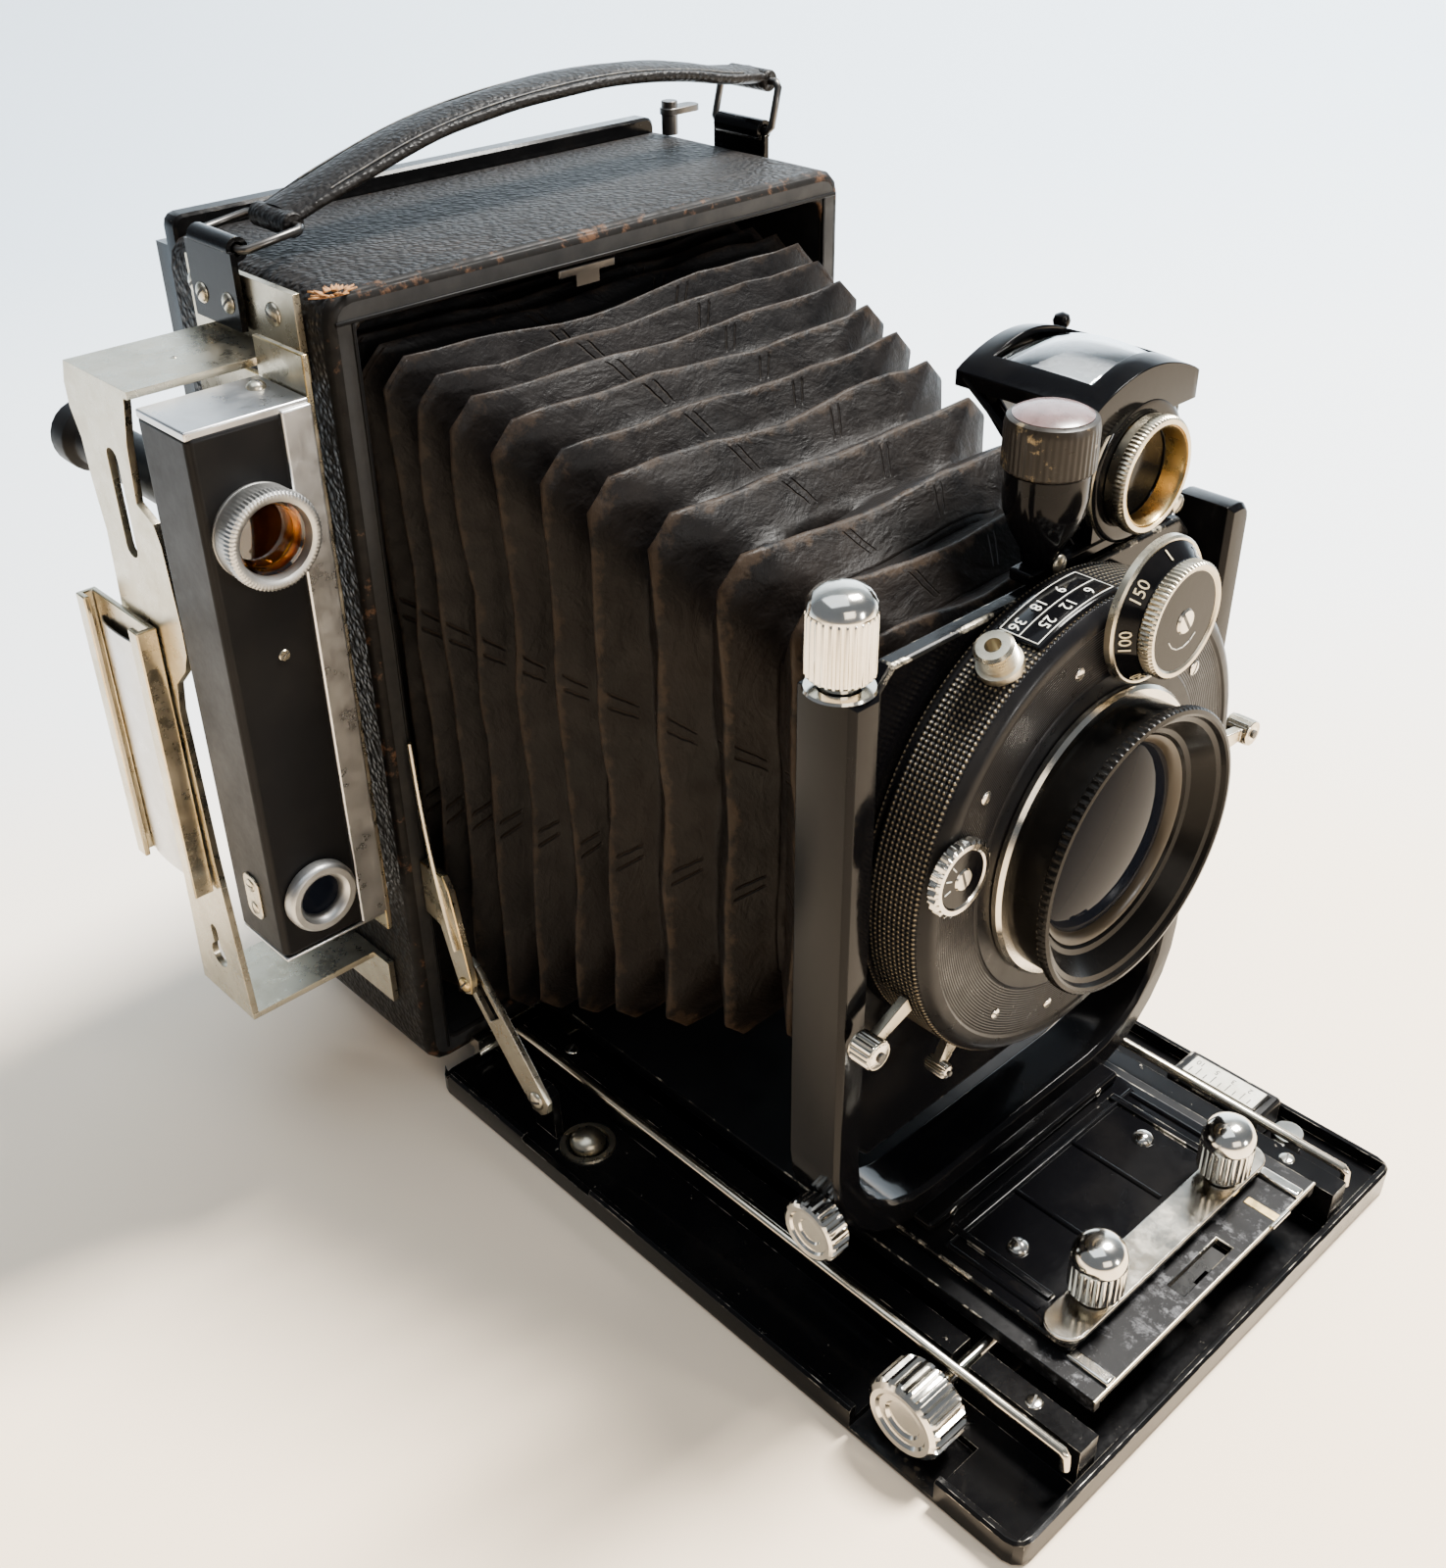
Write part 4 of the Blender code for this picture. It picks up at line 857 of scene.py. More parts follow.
def make_rangefinder():
    refine("rf_bracket", SHEET_METAL, 0.3, 3)
    refine("rf_shoe", SHEET_METAL, 0.25, 3)
    refine("rf_back_plate", [NICKEL_WARM, BRASS], 0.2)

    refine("rf_body", SATIN, 0.5, 3)
    # bright strip down the inner side of the front, and flat covers at the top and foot
    slab("rf_side_strip", [(-67.9, 51.3), (-62.9, 51.3), (-62.9, 142.9), (-67.9, 142.9)], "Y", -6.38,
        -5.6, ALUMINIUM, BODY, 0.3, 3)
    block("rf_top_cover", (-82.8, -5.7, 142.2), (-62.9, 8.2, 143.6), ALUMINIUM, BODY, 0.3, 3)
    block("rf_foot_cover", (-82.6, -5.9, 50.4), (-63.1, 8.4, 51.1), ALUMINIUM, BODY, 0.3, 3)

    x, z = -74.3, 126.4
    ring = [(5.6, -6.4), (5.6, -9.6), (5.9, -11.0), (6.4, -11.2), (7.1, -11.2), (7.6, -10.9, 1),
        (7.7, -9.6, 1), (7.5, -9.4), (7.5, -6.9), (7.3, -6.4)]
    turned("rf_upper_ring", [(r, -h, *rest) for r, h, *rest in ring], (x, 0, z), -Y, TURNED,
        "filter_ring", ribs=72, depth=0.2, slot="aluminium", closed=True)
    lathe("rf_ring_base", [(5.4, 5.95), (7.5, 5.95), (7.5, 6.35), (5.4, 6.35)], (x, 0, z), -Y, TURNED,
        BODY, closed=True)
    turned("rf_amber_filter", [(0.0, 7.6), (3.0, 7.5), (5.1, 7.2), (5.1, 6.6), (0.0, 6.6)], (x, 0, z), -Y,
        AMBER, "filter_ring", 40, slot="amber_glass")
    lathe("rf_amber_lip", [(5.55, 7.3), (5.55, 9.6), (5.1, 9.3), (4.9, 7.4)], (x, 0, z), -Y, AMBER,
        "filter_ring", 40, closed=True, slot="amber_glass")
    # painted shade: a black disc behind the amber filter for the dark inside of the window
    lathe("rf_upper_well", [(0.0, 6.1), (5.0, 6.1), (5.0, 6.3), (0.0, 6.35)], (x, 0, z), -Y, WELL_SHADE, BODY, 32)

    x, z = -75.2, 61.4
    ring = [(3.7, 6.4), (3.7, 7.1), (4.2, 8.2), (4.7, 8.6), (5.7, 8.6), (6.1, 8.3), (6.3, 7.7), (6.3, 6.3)]
    turned("rf_lower_ring", ring, (x, 0, z), -Y, TURNED, BODY, 56, slot="aluminium", closed=True)
    # the lower window's glass is near-black: painted shade of the inside behind it
    lathe("rf_lower_glass", [(0.0, 6.9), (2.2, 6.8), (3.8, 6.5), (3.8, 6.1), (0.0, 6.1)], (x, 0, z), -Y,
        LENS_GLASS, BODY, 36)
    refine("rf_eyepiece", SATIN, 0.3, 3)

    screw("rf_front_screw", (-73.6, -6.0, 105.6), -Y, 0.95, 0.15, NICKEL_WARM, BODY, 0.5, False)
    slab("rf_lozenge", [(1.2 + a, 56.6 + b) for a, b in rounded(-2.3, 2.3, 0.0, 8.6, 1.6)], "X", -83.2,
        -82.7, NICKEL_WARM, BODY, 0.15)
    for z in (58.6, 63.2):
        screw(f"rf_lozenge_screw_{int(z)}", (-83.2, 1.2, z), -X, 1.25, 0.35, NICKEL_WARM, BODY, 0.3 * z)
    screw("rf_cover_screw", (-66.0, 3.4, 143.6), Z, 1.5, 1.1, NICKEL_WARM, BODY, 0.2)
    for y, z, turn in ((36.0, 150.2, 0.5), (24.0, 149.6, 1.1), (12.5, 150.2, -0.4)):
        screw(f"rf_bracket_screw_{int(y)}", (-56.5, y, z), -X, 1.9, 0.8, NICKEL_WARM, BODY, turn)
    screw("rf_arm_rivet", (-70.0, 20.0, 145.1), Z, 0.5, 0.12, NICKEL_WARM, BODY, 0.0)
    # the leaf spring inside the shoe
    profile = smooth_path([(-84.0, 20.3), (-84.9, 23.0), (-85.2, 28.0), (-84.9, 33.0), (-84.0, 35.7)], 5)
    outline = [(p.x, p.y) for p in profile] + [(p.x + 0.35, p.y) for p in reversed(profile)]
    slab("shoe_spring", outline, "Z", 55.0, 101.0, ALUMINIUM, BODY, 0.1)


# ---------------------------------------------------------------- bed, struts and track

def make_bed():
    refine("bed_panel", [ENAMEL_CHIPPED, BED_EDGE], 0.45, 3)
    for side in (-1, 1):
        # nickel guide rods along the rails
        wire(f"rail_rod_{'left' if side < 0 else 'right'}", [(side * 40.2, y, 11.6)
            for y in (-9, -60, -138.2)] + [(side * 40.2, -138.9, 11.0), (side * 40.2, -139.1, 8.4)], 0.85,
            RAIL, "bed")
        block(f"track_rail_{side}", (side * 27.0 - 1.1, -137.3, 13.4), (side * 27.0 + 1.1, -129.5, 14.6),
            CHROME, "track", 0.4, 3)
        for y in (-20.0, -130.0):
            screw(f"rail_screw_{side}_{int(-y)}", (side * 36.0, y, 11.0), Z, 1.4, 0.35, NICKEL, "bed", y)
        block(f"hinge_leaf_{side}", (side * 22.0 - 9.0, -9.5, 3.05), (side * 22.0 + 9.0, -4.6, 3.7),
            NICKEL_WARM, "bed", 0.15)
    refine("bed_button", NICKEL_WARM, 0.0, sharp=50.0)
    lathe("button_collar", [(3.9, 3.05), (5.3, 3.05), (5.1, 3.45), (4.1, 3.5)], (-45.0, -35.0, 0), Z,
        NICKEL_WARM, "bed", 36, closed=True)
    refine("distance_scale", [SATIN, ENAMEL_EDGE], 0.3, 3)
    block("scale_card", (43.5, -118.6, 9.72), (48.7, -103.8, 9.95), CARD, "bed", 0.1, 2)
    for i in range(9):
        y = -117.3 + i * 1.55
        block(f"scale_tick_{i}", (43.9, y, 9.95), (45.3 + 0.8 * (i % 2), y + 0.18, 10.0), DARK_MARKS_AND_SLOT_SHADE, "bed", 0.0)
    for i, text in enumerate(("2", "3", "5", "10")):
        letters(f"scale_figure_{i}", text, (47.2, -116.0 + i * 3.5, 9.97), Y, -X, 1.7, DARK_MARKS_AND_SLOT_SHADE, "bed")
    refine("infinity_stop", CHROME, 0.25, 3)
    refine("focus_track", [TRACK, ENAMEL_EDGE], 0.2)
    wire("track_front_line", [(-31.5, -137.3, 13.55), (31.5, -137.3, 13.55)], 0.3, NICKEL_WARM, "track")
    block("track_latch", (18.9, -137.9, 13.4), (20.8, -131.2, 13.9), BRASS, "track", 0.2, 3)
    # painted shade: a thin black sheet for the dark opening of the track window
    slab("track_window", [(-6.0, -135.9), (-1.5, -135.9), (-1.5, -134.9), (2.0, -134.9), (2.0, -135.9),
        (7.0, -135.9), (7.0, -132.9), (-6.0, -132.9)], "Z", 13.5, 13.58, WELL_SHADE, "track", 0.0)
    wire("track_latch_bar", [(17.2, -137.7, 13.9), (22.4, -137.7, 13.9)], 0.45, CHROME, "track")
    make_carriage()


def make_carriage():
    refine("carriage_plate", [ENAMEL, ENAMEL_EDGE], 0.3, 3)
    for side in (-1, 1):
        for x in (8.0, 25.2):
            wire(f"carriage_bead_{side}_{int(x)}", [(side * x, y, 15.75) for y in (-104.0, -122.0)], 0.55,
                ENAMEL, "carriage")
        screw(f"carriage_screw_{side}", (side * 17.5, -112.0, 15.8), Z, 1.9, 1.3, CHROME, "carriage",
            0.4 * side)
    wire("carriage_bead_cross", [(x, -103.6, 15.75) for x in (-26.0, 0.0, 26.0)], 0.6, ENAMEL, "carriage")
    bar = slab("vis_grip_bar", rounded(-28.5, 28.5, -130.6, -123.4, 3.55, 10), "Z", 16.3, 17.4, NICKEL,
        "carriage", 0.25, 3)
    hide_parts("grip_bar")
    z0 = 17.7
    knob = [(0.0, z0), (2.7, z0), (2.7, z0 + 1.7), (4.1, z0 + 1.8), (4.5, z0 + 2.2, 1),
        (4.5, z0 + 7.4, 1), (4.35, z0 + 7.9), (4.5, z0 + 8.3), (4.35, z0 + 9.6), (3.7, z0 + 11.0),
        (2.6, z0 + 11.9), (1.2, z0 + 12.3), (0.0, z0 + 12.4)]
    for name, side in (("left", -1), ("right", 1)):
        turned("grip_knob_" + name, knob, (side * 18.0, -127.0, 0), Z, CHROME, "grip_" + name, ribs=26,
            depth=0.42, sharpness=1.3, slot="nickel", sharp=30.0)


def make_drives():
    rows = [(0.0, 0.8), (2.0, 0.8), (2.3, 0.5), (3.6, 0.5), (3.9, 0.1), (4.6, 0.0), (5.1, 0.3),
        (5.4, 0.7, 1), (5.4, 3.7, 1), (5.0, 4.1), (0.0, 4.1)]
    turned("cross_knob", rows, (-49.0, -94.5, 29.5), X, CHROME, "cross_drive", ribs=20, depth=0.55,
        sharpness=1.6, slot="nickel", sharp=30.0)
    rows = [(0.0, 1.1), (3.0, 1.1), (3.4, 0.6), (4.6, 0.6), (5.0, 0.1), (5.9, 0.0), (6.7, 0.5),
        (7.2, 1.1, 1), (7.2, 6.9, 1), (6.8, 7.4), (1.6, 7.4), (1.2, 8.0), (1.2, 30.0), (0.0, 30.0)]
    turned("focus_knob", rows, (-52.4, -117.5, 9.3), X, CHROME, "focus_drive", ribs=22, depth=0.75,
        sharpness=1.8, slot="nickel", sharp=30.0)
    z0 = 122.8
    rows = [(0.0, z0), (2.8, z0), (2.8, z0 + 1.4), (4.2, z0 + 1.5), (4.7, z0 + 2.0, 1),
        (4.7, z0 + 10.2, 1), (4.5, z0 + 10.6), (4.65, z0 + 11.0), (4.4, z0 + 12.2), (3.6, z0 + 13.2),
        (2.2, z0 + 13.9), (0.0, z0 + 14.2)]
    turned("rise_knob", rows, RISE_KNOB, Z, CHROME, "rise_drive", ribs=28, depth=0.38, sharpness=1.3,
        slot="nickel", sharp=30.0)


def make_struts():
    for name, side in (("left", -1), ("right", 1)):
        refine("strut_arm_" + name, [NICKEL_WARM, NICKEL], 0.2)
        refine("strut_guide_" + name, [NICKEL_WARM, BRASS], 0.2)
        screw("strut_rivet_low_" + name, (side * 49.95, -27.0, 11.7), X * side, 1.9, 0.9, NICKEL_WARM,
            "strut_" + name, 0.4)
        screw("strut_rivet_high_" + name, (side * 51.8, -10.5, 30.5), X * side, 1.6, 0.8, BRASS, BODY, 0.9)
        brace = smooth_path([(side * 51.2, -1.2, 78.0), (side * 51.4, -2.4, 66.0),
            (side * 51.6, -4.2, 55.0), (side * 51.9, -7.2, 44.0), (side * 52.2, -9.4, 38.0)], 6)
        wire("strut_spring_" + name, brace, 0.55, NICKEL_WARM, BODY)


# ---------------------------------------------------------------- standard, shutter and lens

def make_standard():
    refine("standard_frame", ENAMEL, 2.4, 6, sharp=60.0)
    refine("lens_board", [ENAMEL, ENAMEL_EDGE], 0.3, 3)
    lathe("rise_collar", [(3.2, 122.45), (4.9, 122.45), (4.7, 122.85), (3.2, 122.85)], RISE_KNOB, Z,
        CHROME, "standard", 32, closed=True, slot="nickel")
    for side in (-1, 1):
        screw(f"standard_screw_{side}", (side * 20.0, -100.5, 17.2), -Y, 0.9, 0.3, NICKEL, "standard", 0.3)


def make_shutter():
    case = [(0.0, 11.5), (26.2, 11.5), (26.6, 11.2), (34.4, 11.2), (34.8, 11.45), (35.8, 11.45),
        (36.6, 11.1), (37.4, 10.2), (37.9, 9.6), (38.0, 9.2), (38.0, 1.6), (37.2, 1.2), (37.2, 0.6),
        (37.8, 0.3), (37.0, 0.0), (0.0, 0.0)]
    turned("shutter_case", case, BOARD_FACE, -Y, SHUTTER, LENS, 160, slot="matt_black", sharp=28.0)
    for angle, radius, r in ((-100, 31.0, 0.9), (-68, 31.0, 0.9), (-128, 31.0, 0.9), (146, 31.5, 1.0),
            (38, 29.5, 1.2), (-38, 31.0, 0.9), (104, 30.0, 1.0)):
        x, z = polar(angle, radius)
        screw(f"shutter_screw_{angle}", (x, -104.05, z), -Y, r, 0.28, NICKEL, LENS, radians(angle * 1.7))

    # threaded cable-release nipple at the upper left of the rim
    c, s = cos(radians(119.6)), sin(radians(119.6))
    thread = [(0.0, 0.0), (3.3, 0.0), (3.3, 1.3), (2.5, 1.5)]
    for i in range(5):
        thread += [(2.2, 1.7 + 0.6 * i), (2.85, 2.0 + 0.6 * i)]
    thread += [(2.4, 4.8), (2.0, 4.85), (1.2, 4.85), (1.1, 2.4), (0.0, 2.4)]
    lathe("cable_nipple", thread, (37.8 * c, -99.2, LENS_Z + 37.8 * s), (c, 0, s), NICKEL_WARM, LENS, 36,
        slot="brass", sharp=20.0)

    # aperture scale: a curved plate on the rim with numbers and a white border
    bm = bmesh.new()
    first, last, steps = 86.0, 113.0, 30
    strips = []
    for i in range(steps + 1):
        angle = first + (last - first) * i / steps
        row = []
        for radius, y in ((38.02, -94.6), (38.3, -94.8), (38.3, -102.0), (37.9, -102.6)):
            x, z = polar(angle, radius)
            row.append(bm.verts.new(P(x, y, z)))
        strips.append(row)
    skin(bm, strips, False)
    plate = piece("aperture_scale", bm, ENAMEL, LENS, 60.0)
    thicken(plate, 0.25)
    sweep_angles = [first + 1.0 + (last - first - 2.0) * i / 24 for i in range(25)]
    for y in (-95.2, -98.4, -101.6):
        wire(f"aperture_line_{int(-y)}", [(polar(a, RIM)[0], y, polar(a, RIM)[1]) for a in sweep_angles],
            0.08, WHITE, LENS)
    for angle in (first + 1.0, last - 1.0):
        x, z = polar(angle, RIM)
        wire(f"aperture_end_{int(angle)}", [(x, -95.2, z), (x, -101.6, z)], 0.08, WHITE, LENS)
    for text, angle, y in (("36", 109.5, -96.8), ("18", 102.5, -96.8), ("9", 95.5, -96.8),
            ("25", 106.0, -100.0), ("12", 99.0, -100.0), ("6", 92.0, -100.0)):
        x, z = polar(angle, 38.42)
        t = radians(angle)
        letters(f"aperture_figure_{text}", text, (x, y, z), (-sin(t), 0, cos(t)), (0, -1, 0), 2.5, WHITE,
            LENS)

    # lens barrel: nickel ring, black tube, knurled rim
    nickel_ring = [(16.8, 0.1), (23.4, 0.1), (23.4, 0.9), (22.9, 1.5), (22.0, 1.6), (16.8, 1.6)]
    lathe("barrel_ring", nickel_ring, SHUTTER_FACE, -Y, NICKEL, LENS, 96, closed=True, slot="nickel")
    barrel = [(16.6, 1.2), (21.6, 1.2), (21.6, 6.9), (22.0, 7.3), (22.7, 7.5), (22.9, 7.7, 1),
        (22.9, 8.7, 1), (22.6, 9.0), (22.0, 9.1), (21.6, 8.9), (21.2, 8.2), (20.4, 7.9), (18.2, 5.0),
        (17.4, 4.7), (17.0, 4.2), (16.6, 4.0)]
    turned("lens_barrel", barrel, SHUTTER_FACE, -Y, BARREL, LENS, ribs=120, depth=0.22,
        slot="black_enamel", closed=True, sharp=24.0)
    # the front element is opaque: its near-black colour is painted shade of the lens's inside
    dome = []
    for i in range(11):
        share = i / 10
        dome.append((16.5 * sin(share * pi / 2), 1.6 + 3.9 * cos(share * pi / 2)))
    turned("front_element", dome + [(0.0, 1.5)], SHUTTER_FACE, -Y, LENS_GLASS, LENS, 72, slot="glass",
        sharp=60.0)
    lathe("glass_seat", [(15.2, 2.6), (16.9, 2.6), (16.9, 4.3), (16.4, 4.2), (15.6, 3.5)], SHUTTER_FACE,
        -Y, RIM_BRASS, LENS, 72, closed=True, slot="black_enamel")

    make_dials()
    for name, angle, reach, y, radius, body in (("cocking_lever", -3.7, 45.6, -102.0, 2.1, "cocking"),
            ("release_lever", -157.3, 47.4, -100.6, 2.3, "release"),
            ("aperture_lever", -128.0, 42.4, -99.4, 1.2, "aperture")):
        refine(name, [NICKEL_WARM, NICKEL], 0.12, angle=40.0)
        x, z = polar(angle, reach)
        tip = [(0.0, 2.25), (radius * 0.45, 2.25), (radius * 0.8, 2.1), (radius + 0.12, 1.7, 1),
            (radius + 0.12, -1.6, 1), (radius * 0.8, -1.9), (0.0, -1.9)]
        lathe(name + "_tip", tip, (x, y, z), -Y, NICKEL, body, ribs=18, depth=0.22, slot="nickel",
            sharp=30.0)
        lathe(name + "_pin", [(0.0, 2.3), (radius * 0.35, 2.3), (radius * 0.35, 2.6), (0.0, 2.7)],
            (x, y, z), -Y, DARK_MARKS_AND_SLOT_SHADE, body, 20)


def make_dials():
    x, z = 7.0, 120.4
    dial = [(0.0, 6.0), (7.3, 6.0), (7.6, 6.25, 0, 1), (8.2, 6.3, 0, 1), (8.6, 5.9, 1, 1),
        (8.6, 4.4, 1, 1), (8.3, 4.1, 0, 1), (8.3, 3.9), (10.3, 1.7), (10.6, 1.75, 0, 1),
        (10.9, 1.4, 0, 1), (10.9, 0.4, 0, 1), (0.0, 0.3, 0, 1)]
    turned("speed_dial", dial, (x, -104.5, z), -Y, [ENAMEL, NICKEL_WARM], "speed_setting", ribs=72,
        depth=0.26, slot="black_enamel", sharp=28.0)
    for i, text in enumerate(("100", "150", "1", "2", "5", "10", "25", "50")):
        angle = radians(186.0 - 44.0 * i)
        radial = Vector((cos(angle), 0.0, sin(angle)))
        at = Vector((x, -107.42, z)) + radial * 9.4
        letters(f"speed_figure_{i}", text, at, (sin(angle), 0, -cos(angle)), radial * 0.67 + Y * 0.74,
            2.5, GOLD_MARK, "speed_setting")
        mark = at + radial * 0.9 + Y * 0.95
        letters(f"speed_point_{i}", ".", mark, (sin(angle), 0, -cos(angle)), radial * 0.67 + Y * 0.74,
            2.2, GOLD_MARK, "speed_setting")
    screw("speed_screw", (x, -110.5, z), -Y, 1.9, 0.3, NICKEL, "speed_setting", 2.2, False)
    for i in range(5):
        start = -150.0 + 22.0 * i
        ends = [polar(start + more, 4.1, (x, z)) for more in (0.0, ARROW_STEP)]
        wire(f"speed_arrow_{i}", [(a, -110.53, b) for a, b in ends], 0.09, WHITE, "speed_setting")
    x, z = -32.5, 94.5
    mode = [(0.0, 1.7), (4.3, 1.7), (4.6, 1.9, 0, 1), (5.3, 1.9, 0, 1), (5.9, 1.6, 1, 1),
        (5.9, 0.4, 1, 1), (5.5, 0.15, 0, 1), (0.0, 0.15, 0, 1)]
    turned("mode_dial", mode, (x, -104.4, z), -Y, [ENAMEL, NICKEL], "mode_setting", ribs=26, depth=0.45,
        slot="black_enamel", sharp=28.0)
    screw("mode_screw", (x, -106.1, z), -Y, 1.7, 0.25, NICKEL, "mode_setting", 1.9, False)
    for i in range(3):
        ends = [polar(128.0 + 32.0 * i, r, (x, z)) for r in (2.7, 3.9)]
        wire(f"mode_mark_{i}", [(a, -106.13, b) for a, b in ends], 0.1, WHITE, "mode_setting")


# ---------------------------------------------------------------- finder and level

def make_finder():
    x0, x1 = 8.3, 33.3
    # arched hood with an opening for the lens, its skirt turned down all round
    bm = bmesh.new()
    xs = [x0 + (x1 - x0) * i / 20 for i in range(21)]
    ys = [-91.7, -90.6, -89.3, -87.9, -84.0, -79.0, -74.0, -70.6, -69.2, -67.8, -66.7]
    grid = []
    for x in xs:
        share = (x - x0) / (x1 - x0)
        row = []
        for y in ys:
            side = 1.0 - 0.22 * abs((y + 79.2) / 12.5) ** 4
            row.append(bm.verts.new(P(x, y, 144.9 + 4.4 * side * sin(pi * share) ** 0.85)))
        grid.append(row)
    for i in range(20):
        for j in range(10):
            if 3 <= i < 17 and 3 <= j < 7:
                continue
            bm.faces.new((grid[i][j], grid[i + 1][j], grid[i + 1][j + 1], grid[i][j + 1]))
    border = ([grid[i][0] for i in range(21)] + [grid[20][j] for j in range(1, 11)] + [grid[i][10]
        for i in range(19, -1, -1)] + [grid[0][j] for j in range(9, 0, -1)])
    lower = []
    for vert in border:
        front = vert.co.y < P(0, -90.0, 0).y
        lower.append(bm.verts.new((vert.co.x, vert.co.y, (140.6 if front else 142.6) * MM)))
    for i in range(len(border)):
        j = (i + 1) % len(border)
        bm.faces.new((border[i], border[j], lower[j], lower[i]))
    hood = piece("vis_finder_hood", bm, ENAMEL, LENS, 50.0)
    thicken(hood, 1.0)
    soften(hood, 0.45, 3, 40.0)
    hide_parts("finder_body")
    block("finder_base", (-3.0, -91.5, 122.3), (32.3, -87.5, 124.2), ENAMEL, LENS, 0.4, 3)
    block("finder_neck", (11.0, -91.2, 123.0), (30.0, -89.8, 141.5), ENAMEL, LENS, 0.3, 3)
    slab("finder_backing", [(-91.0, 122.8), (-89.0, 122.8), (-67.4, 144.0), (-68.6, 144.9)], "X",
        x0 + 1.0, x1 - 1.0, ENAMEL, LENS, 0.3, 2)
    bezel = [(6.9, 0.0), (6.9, 1.7), (7.4, 2.0), (10.2, 2.1), (10.9, 1.8), (11.2, 1.4, 0, 1),
        (11.3, 0.8, 0, 1), (11.3, 0.0)]
    lathe("finder_bezel", bezel, (20.5, -89.7, 133.0), -Y, [ENAMEL, NICKEL_WARM], LENS, 72,
        slot="black_enamel", closed=True)
    dome = bmesh.new()
    nx, ny = 20, 16
    grid = []
    for i in range(nx + 1):
        u = -1 + 2 * i / nx
        row = []
        for j in range(ny + 1):
            v = -1 + 2 * j / ny
            lift = 3.6 * sqrt(max(0.0, 1 - 0.93 * u * u)) * sqrt(max(0.0, 1 - 0.8 * v * v))
            row.append(dome.verts.new(P(20.8 + 9.7 * u, -79.4 + 8.5 * v, 145.4 + lift)))
        grid.append(row)
    for i in range(nx):
        for j in range(ny):
            dome.faces.new((grid[i][j], grid[i + 1][j], grid[i + 1][j + 1], grid[i][j + 1]))
    lens = piece("vis_finder_lens", dome, FINDER_GLASS, LENS, 70.0)
    thicken(lens, 0.9)
    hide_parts("finder_lens")
    refine("finder_mirror", MIRROR, 0.1)
    # painted reflection: a pale card under the lens so that the finder looks bright
    block("finder_painted_reflection_card", (11.6, -87.6, 143.6), (30.0, -71.0, 143.9), PAINTED_REFLECTION_CARD, LENS, 0.0, 2)
    lathe("finder_ball", [(0.0, 0.0), (0.8, 0.1), (1.25, 0.7), (1.4, 1.4), (1.1, 2.2), (0.0, 2.7)],
        (32.2, -67.6, 145.6), Z, ENAMEL, LENS, 28, slot="black_enamel")
    for side, x in (("left", 8.6), ("right", 33.0)):
        wire("finder_stay_" + side, [(x, -90.6, 127.0), (x, -79.0, 136.0), (x, -68.2, 144.0)], 0.5,
            ENAMEL, LENS)
    ring = [(7.5, 2.9), (7.6, 3.2, 0, 1), (8.3, 3.2, 0, 0), (8.6, 3.0, 1, 0), (8.8, 2.6, 1, 0),
        (8.8, 1.6, 1, 0), (8.5, 1.4, 0, 0), (8.5, 0.1, 0, 0), (7.5, 0.1, 0, 1)]
    turned("finder_ring", ring, FINDER_WINDOW, -Y, [NICKEL_WARM, BRASS], LENS, ribs=80, depth=0.2,
        slot="nickel", closed=True, sharp=30.0)
    lathe("finder_tube", [(7.0, -6.0), (7.5, -6.0), (7.5, 3.0), (7.3, 3.1), (7.0, 2.6)], FINDER_WINDOW,
        -Y, BRASS, LENS, 56, closed=True, slot="brass")
    lathe("finder_front_glass", [(0.0, -1.3), (4.0, -1.6), (6.9, -2.3), (6.9, -2.9), (0.0, -2.9)],
        FINDER_WINDOW, -Y, FINDER_GLASS, LENS, 40, slot="glass")
    for x, z in ((2.2, 124.0), (31.5, 124.2)):
        screw(f"finder_screw_{int(x)}", (x, -92.3, z + 0.4), -Y, 1.5, 0.6, NICKEL_WARM, LENS, 0.9)

    profile = [(0.0, 124.4), (2.5, 124.4), (2.9, 126.5), (4.6, 129.4), (5.8, 132.5), (6.1, 134.8),
        (6.1, 138.4), (6.3, 138.7), (6.6, 139.0, 1, 1), (6.6, 144.6, 1, 1), (6.5, 145.2, 0, 1),
        (6.3, 145.9, 0, 1), (5.7, 146.2, 0, 1), (0.0, 146.0)]
    turned("level_housing", profile, LEVEL, Z, [ENAMEL, BRONZE], LENS, ribs=44, depth=0.10,
        slot="black_enamel", sharp=30.0)
    disc = [(0.0, 147.2), (2.5, 147.1), (4.6, 146.8), (5.6, 146.3), (5.6, 145.9), (0.0, 145.9)]
    turned("level_glass", disc, LEVEL, Z, DISC, LENS, 48, slot="glass", sharp=60.0)


# ---------------------------------------------------------------- stage

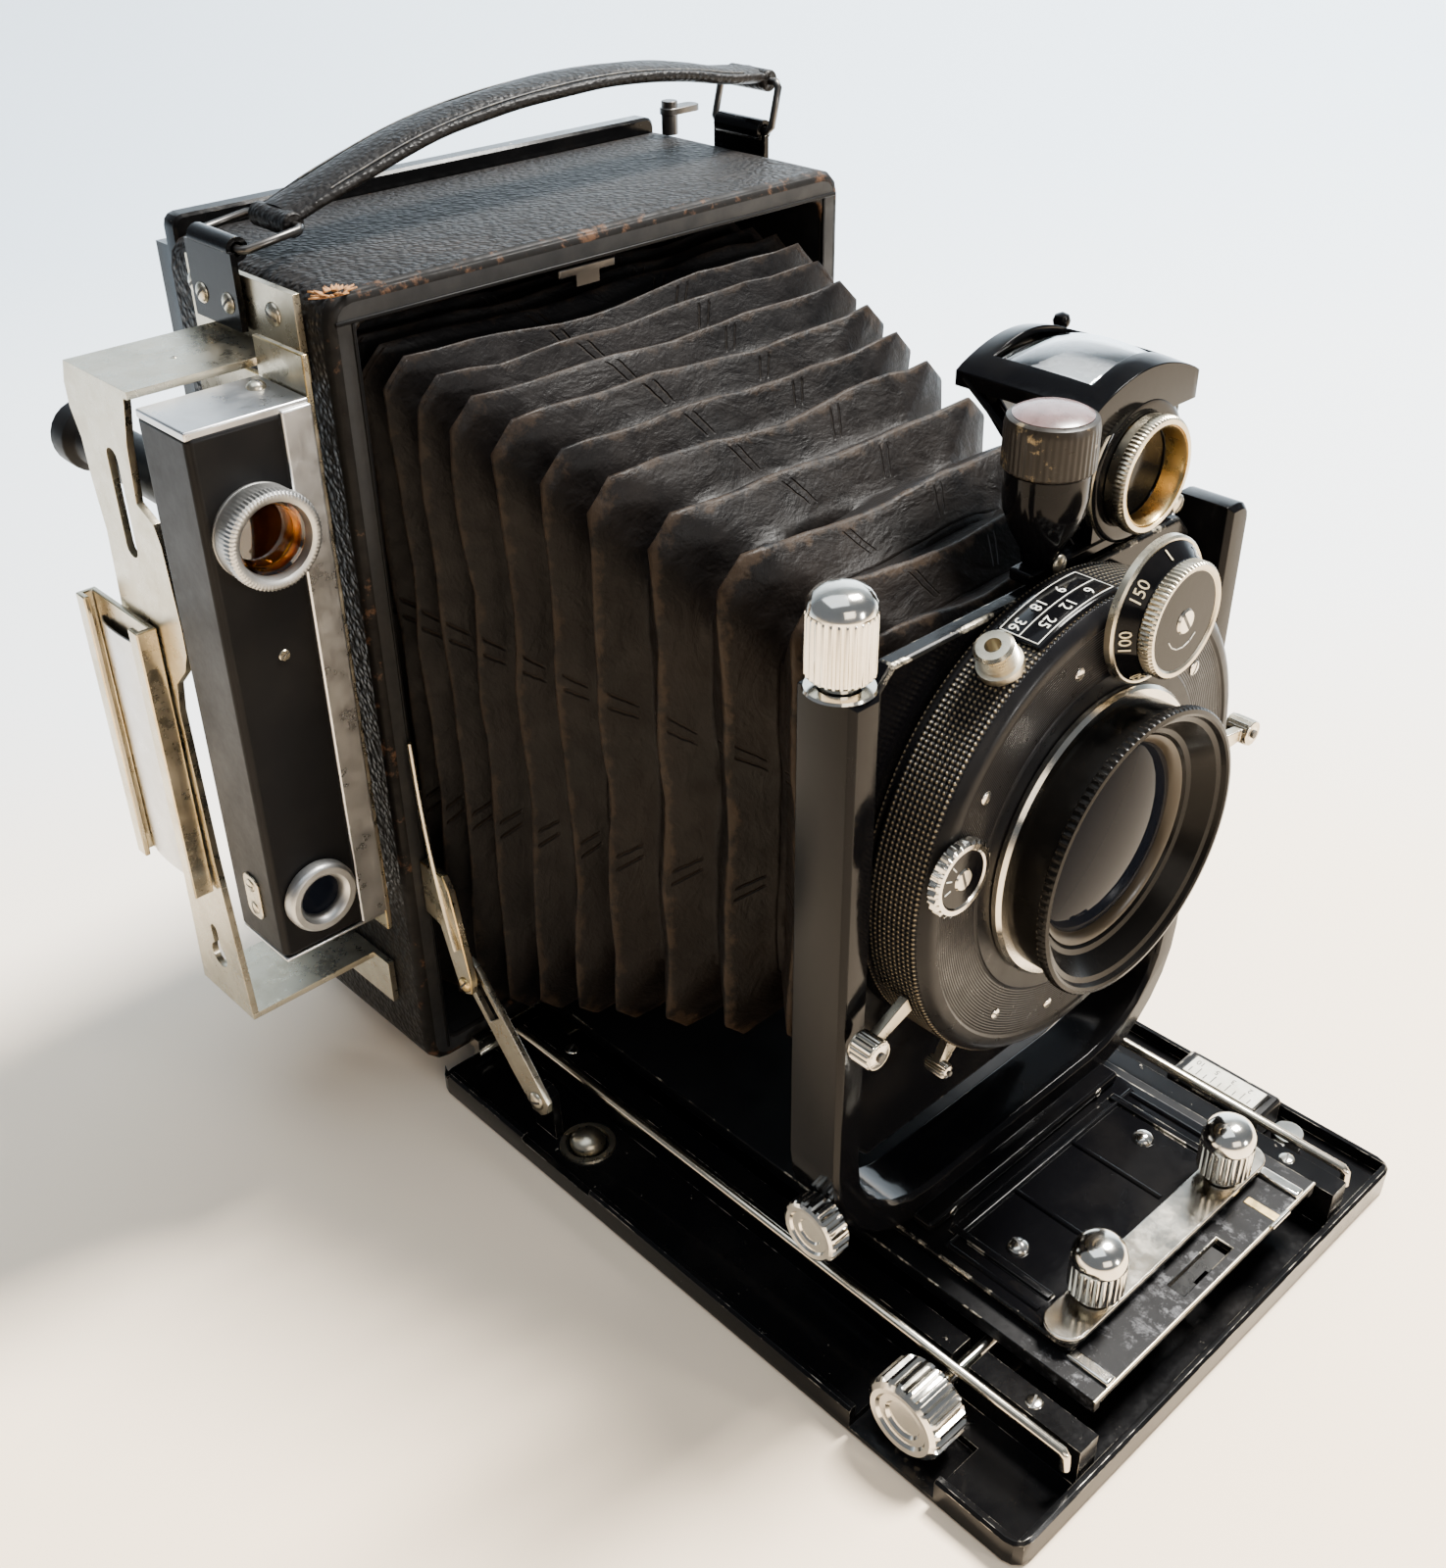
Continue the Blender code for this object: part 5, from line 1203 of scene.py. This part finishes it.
def make_floor():
    m = Maker("floor")
    # painted light: the floor runs from warm cream in front to bluish white towards the back
    painted_light_share = m.plus(m.times(m.axis("Y"), 0.70), m.times(m.axis("X"), 0.44))
    painted_light_share = m.plus(painted_light_share, m.level(m.noise(4.0, 2.0), 0.3, 0.7, -0.03, 0.03))
    colour = m.ramp(m.level(painted_light_share, -0.05, 0.55), (0.0, (1.0, 0.80, 0.58)), (0.16, (0.98, 0.84, 0.67)),
        (0.34, (0.84, 0.86, 0.87)), (1.0, (0.66, 0.78, 0.90)))
    m.set(colour=colour, rough=m.level(m.noise(3.0, 3.0), 0.3, 0.7, 0.55, 0.75))
    bm = bmesh.new()
    rows, width = [], 3.2
    sweep = [(-2.4, 0.0), (0.0, 0.0), (0.45, 0.0)]
    for i in range(1, 13):
        angle = radians(90.0 * i / 12)
        sweep.append((0.45 + 0.9 * sin(angle), 0.9 * (1 - cos(angle))))
    sweep.append((1.35, 3.0))
    turn = Matrix.Rotation(radians(-43.0), 3, "Z")
    for far, up in sweep:
        rows.append([bm.verts.new(turn @ Vector((side * width, far, up))) for side in (-1, 1)])
    for a, b in zip(rows, rows[1:]):
        bm.faces.new((a[0], a[1], b[1], b[0]))
    piece("floor", bm, m.material, None, 60.0)


def area_light(name, at, toward, size, power, colour):
    data = bpy.data.lights.new(name, "AREA")
    data.shape = "RECTANGLE"
    data.size, data.size_y = size
    data.energy = power
    data.color = colour
    obj = bpy.data.objects.new(name, data)
    obj.location = at
    obj.rotation_euler = (Vector(toward) - Vector(at)).to_track_quat("-Z", "Y").to_euler()
    SCENE.collection.objects.link(obj)


def make_lights():
    world = bpy.data.worlds.new("studio")
    SCENE.world = world
    world.use_nodes = True
    world.node_tree.nodes["Background"].inputs["Color"].default_value = (0.80, 0.88, 1.0, 1.0)
    world.node_tree.nodes["Background"].inputs["Strength"].default_value = 0.26
    centre = (0.0, 0.0, 0.07)
    area_light("window", (0.74, -0.08, 1.42), centre, (0.34, 0.50), 122.0, (1.0, 0.97, 0.92))
    area_light("sky", (-0.3, 0.2, 1.6), centre, (1.4, 1.4), 13.0, (0.82, 0.91, 1.0))
    area_light("front_window", (0.28, -1.08, 0.30), (0.0, -0.04, 0.09), (0.10, 0.17), 6.0,
        (1.0, 0.98, 0.95))
    area_light("front_fill", (-0.55, -1.25, 0.7), centre, (0.8, 0.6), 5.0, (1.0, 0.88, 0.74))


def make_camera():
    azimuth, elevation, roll = radians(-43.26), radians(33.1), radians(-0.75)
    right = Vector((cos(azimuth), sin(azimuth), 0.0))
    back = Vector((sin(azimuth) * cos(elevation), -cos(azimuth) * cos(elevation), sin(elevation)))
    up = back.cross(right)
    turned_right = right * cos(roll) + up * sin(roll)
    turned_up = up * cos(roll) - right * sin(roll)
    data = bpy.data.cameras.new("camera")
    data.sensor_fit = "VERTICAL"
    data.sensor_height = 36.0
    data.lens = 38.54
    data.clip_start = 0.01
    obj = bpy.data.objects.new("camera", data)
    obj.matrix_world = Matrix.Translation((-0.17983, -0.14502, 0.22830)) @ Matrix((turned_right,
        turned_up, back)).transposed().to_4x4()
    SCENE.collection.objects.link(obj)
    SCENE.camera = obj


make_camera()
make_floor()
make_lights()
make_bellows()
make_body()
make_handle()
make_rangefinder()
make_bed()
make_drives()
make_struts()
make_standard()
make_shutter()
make_finder()
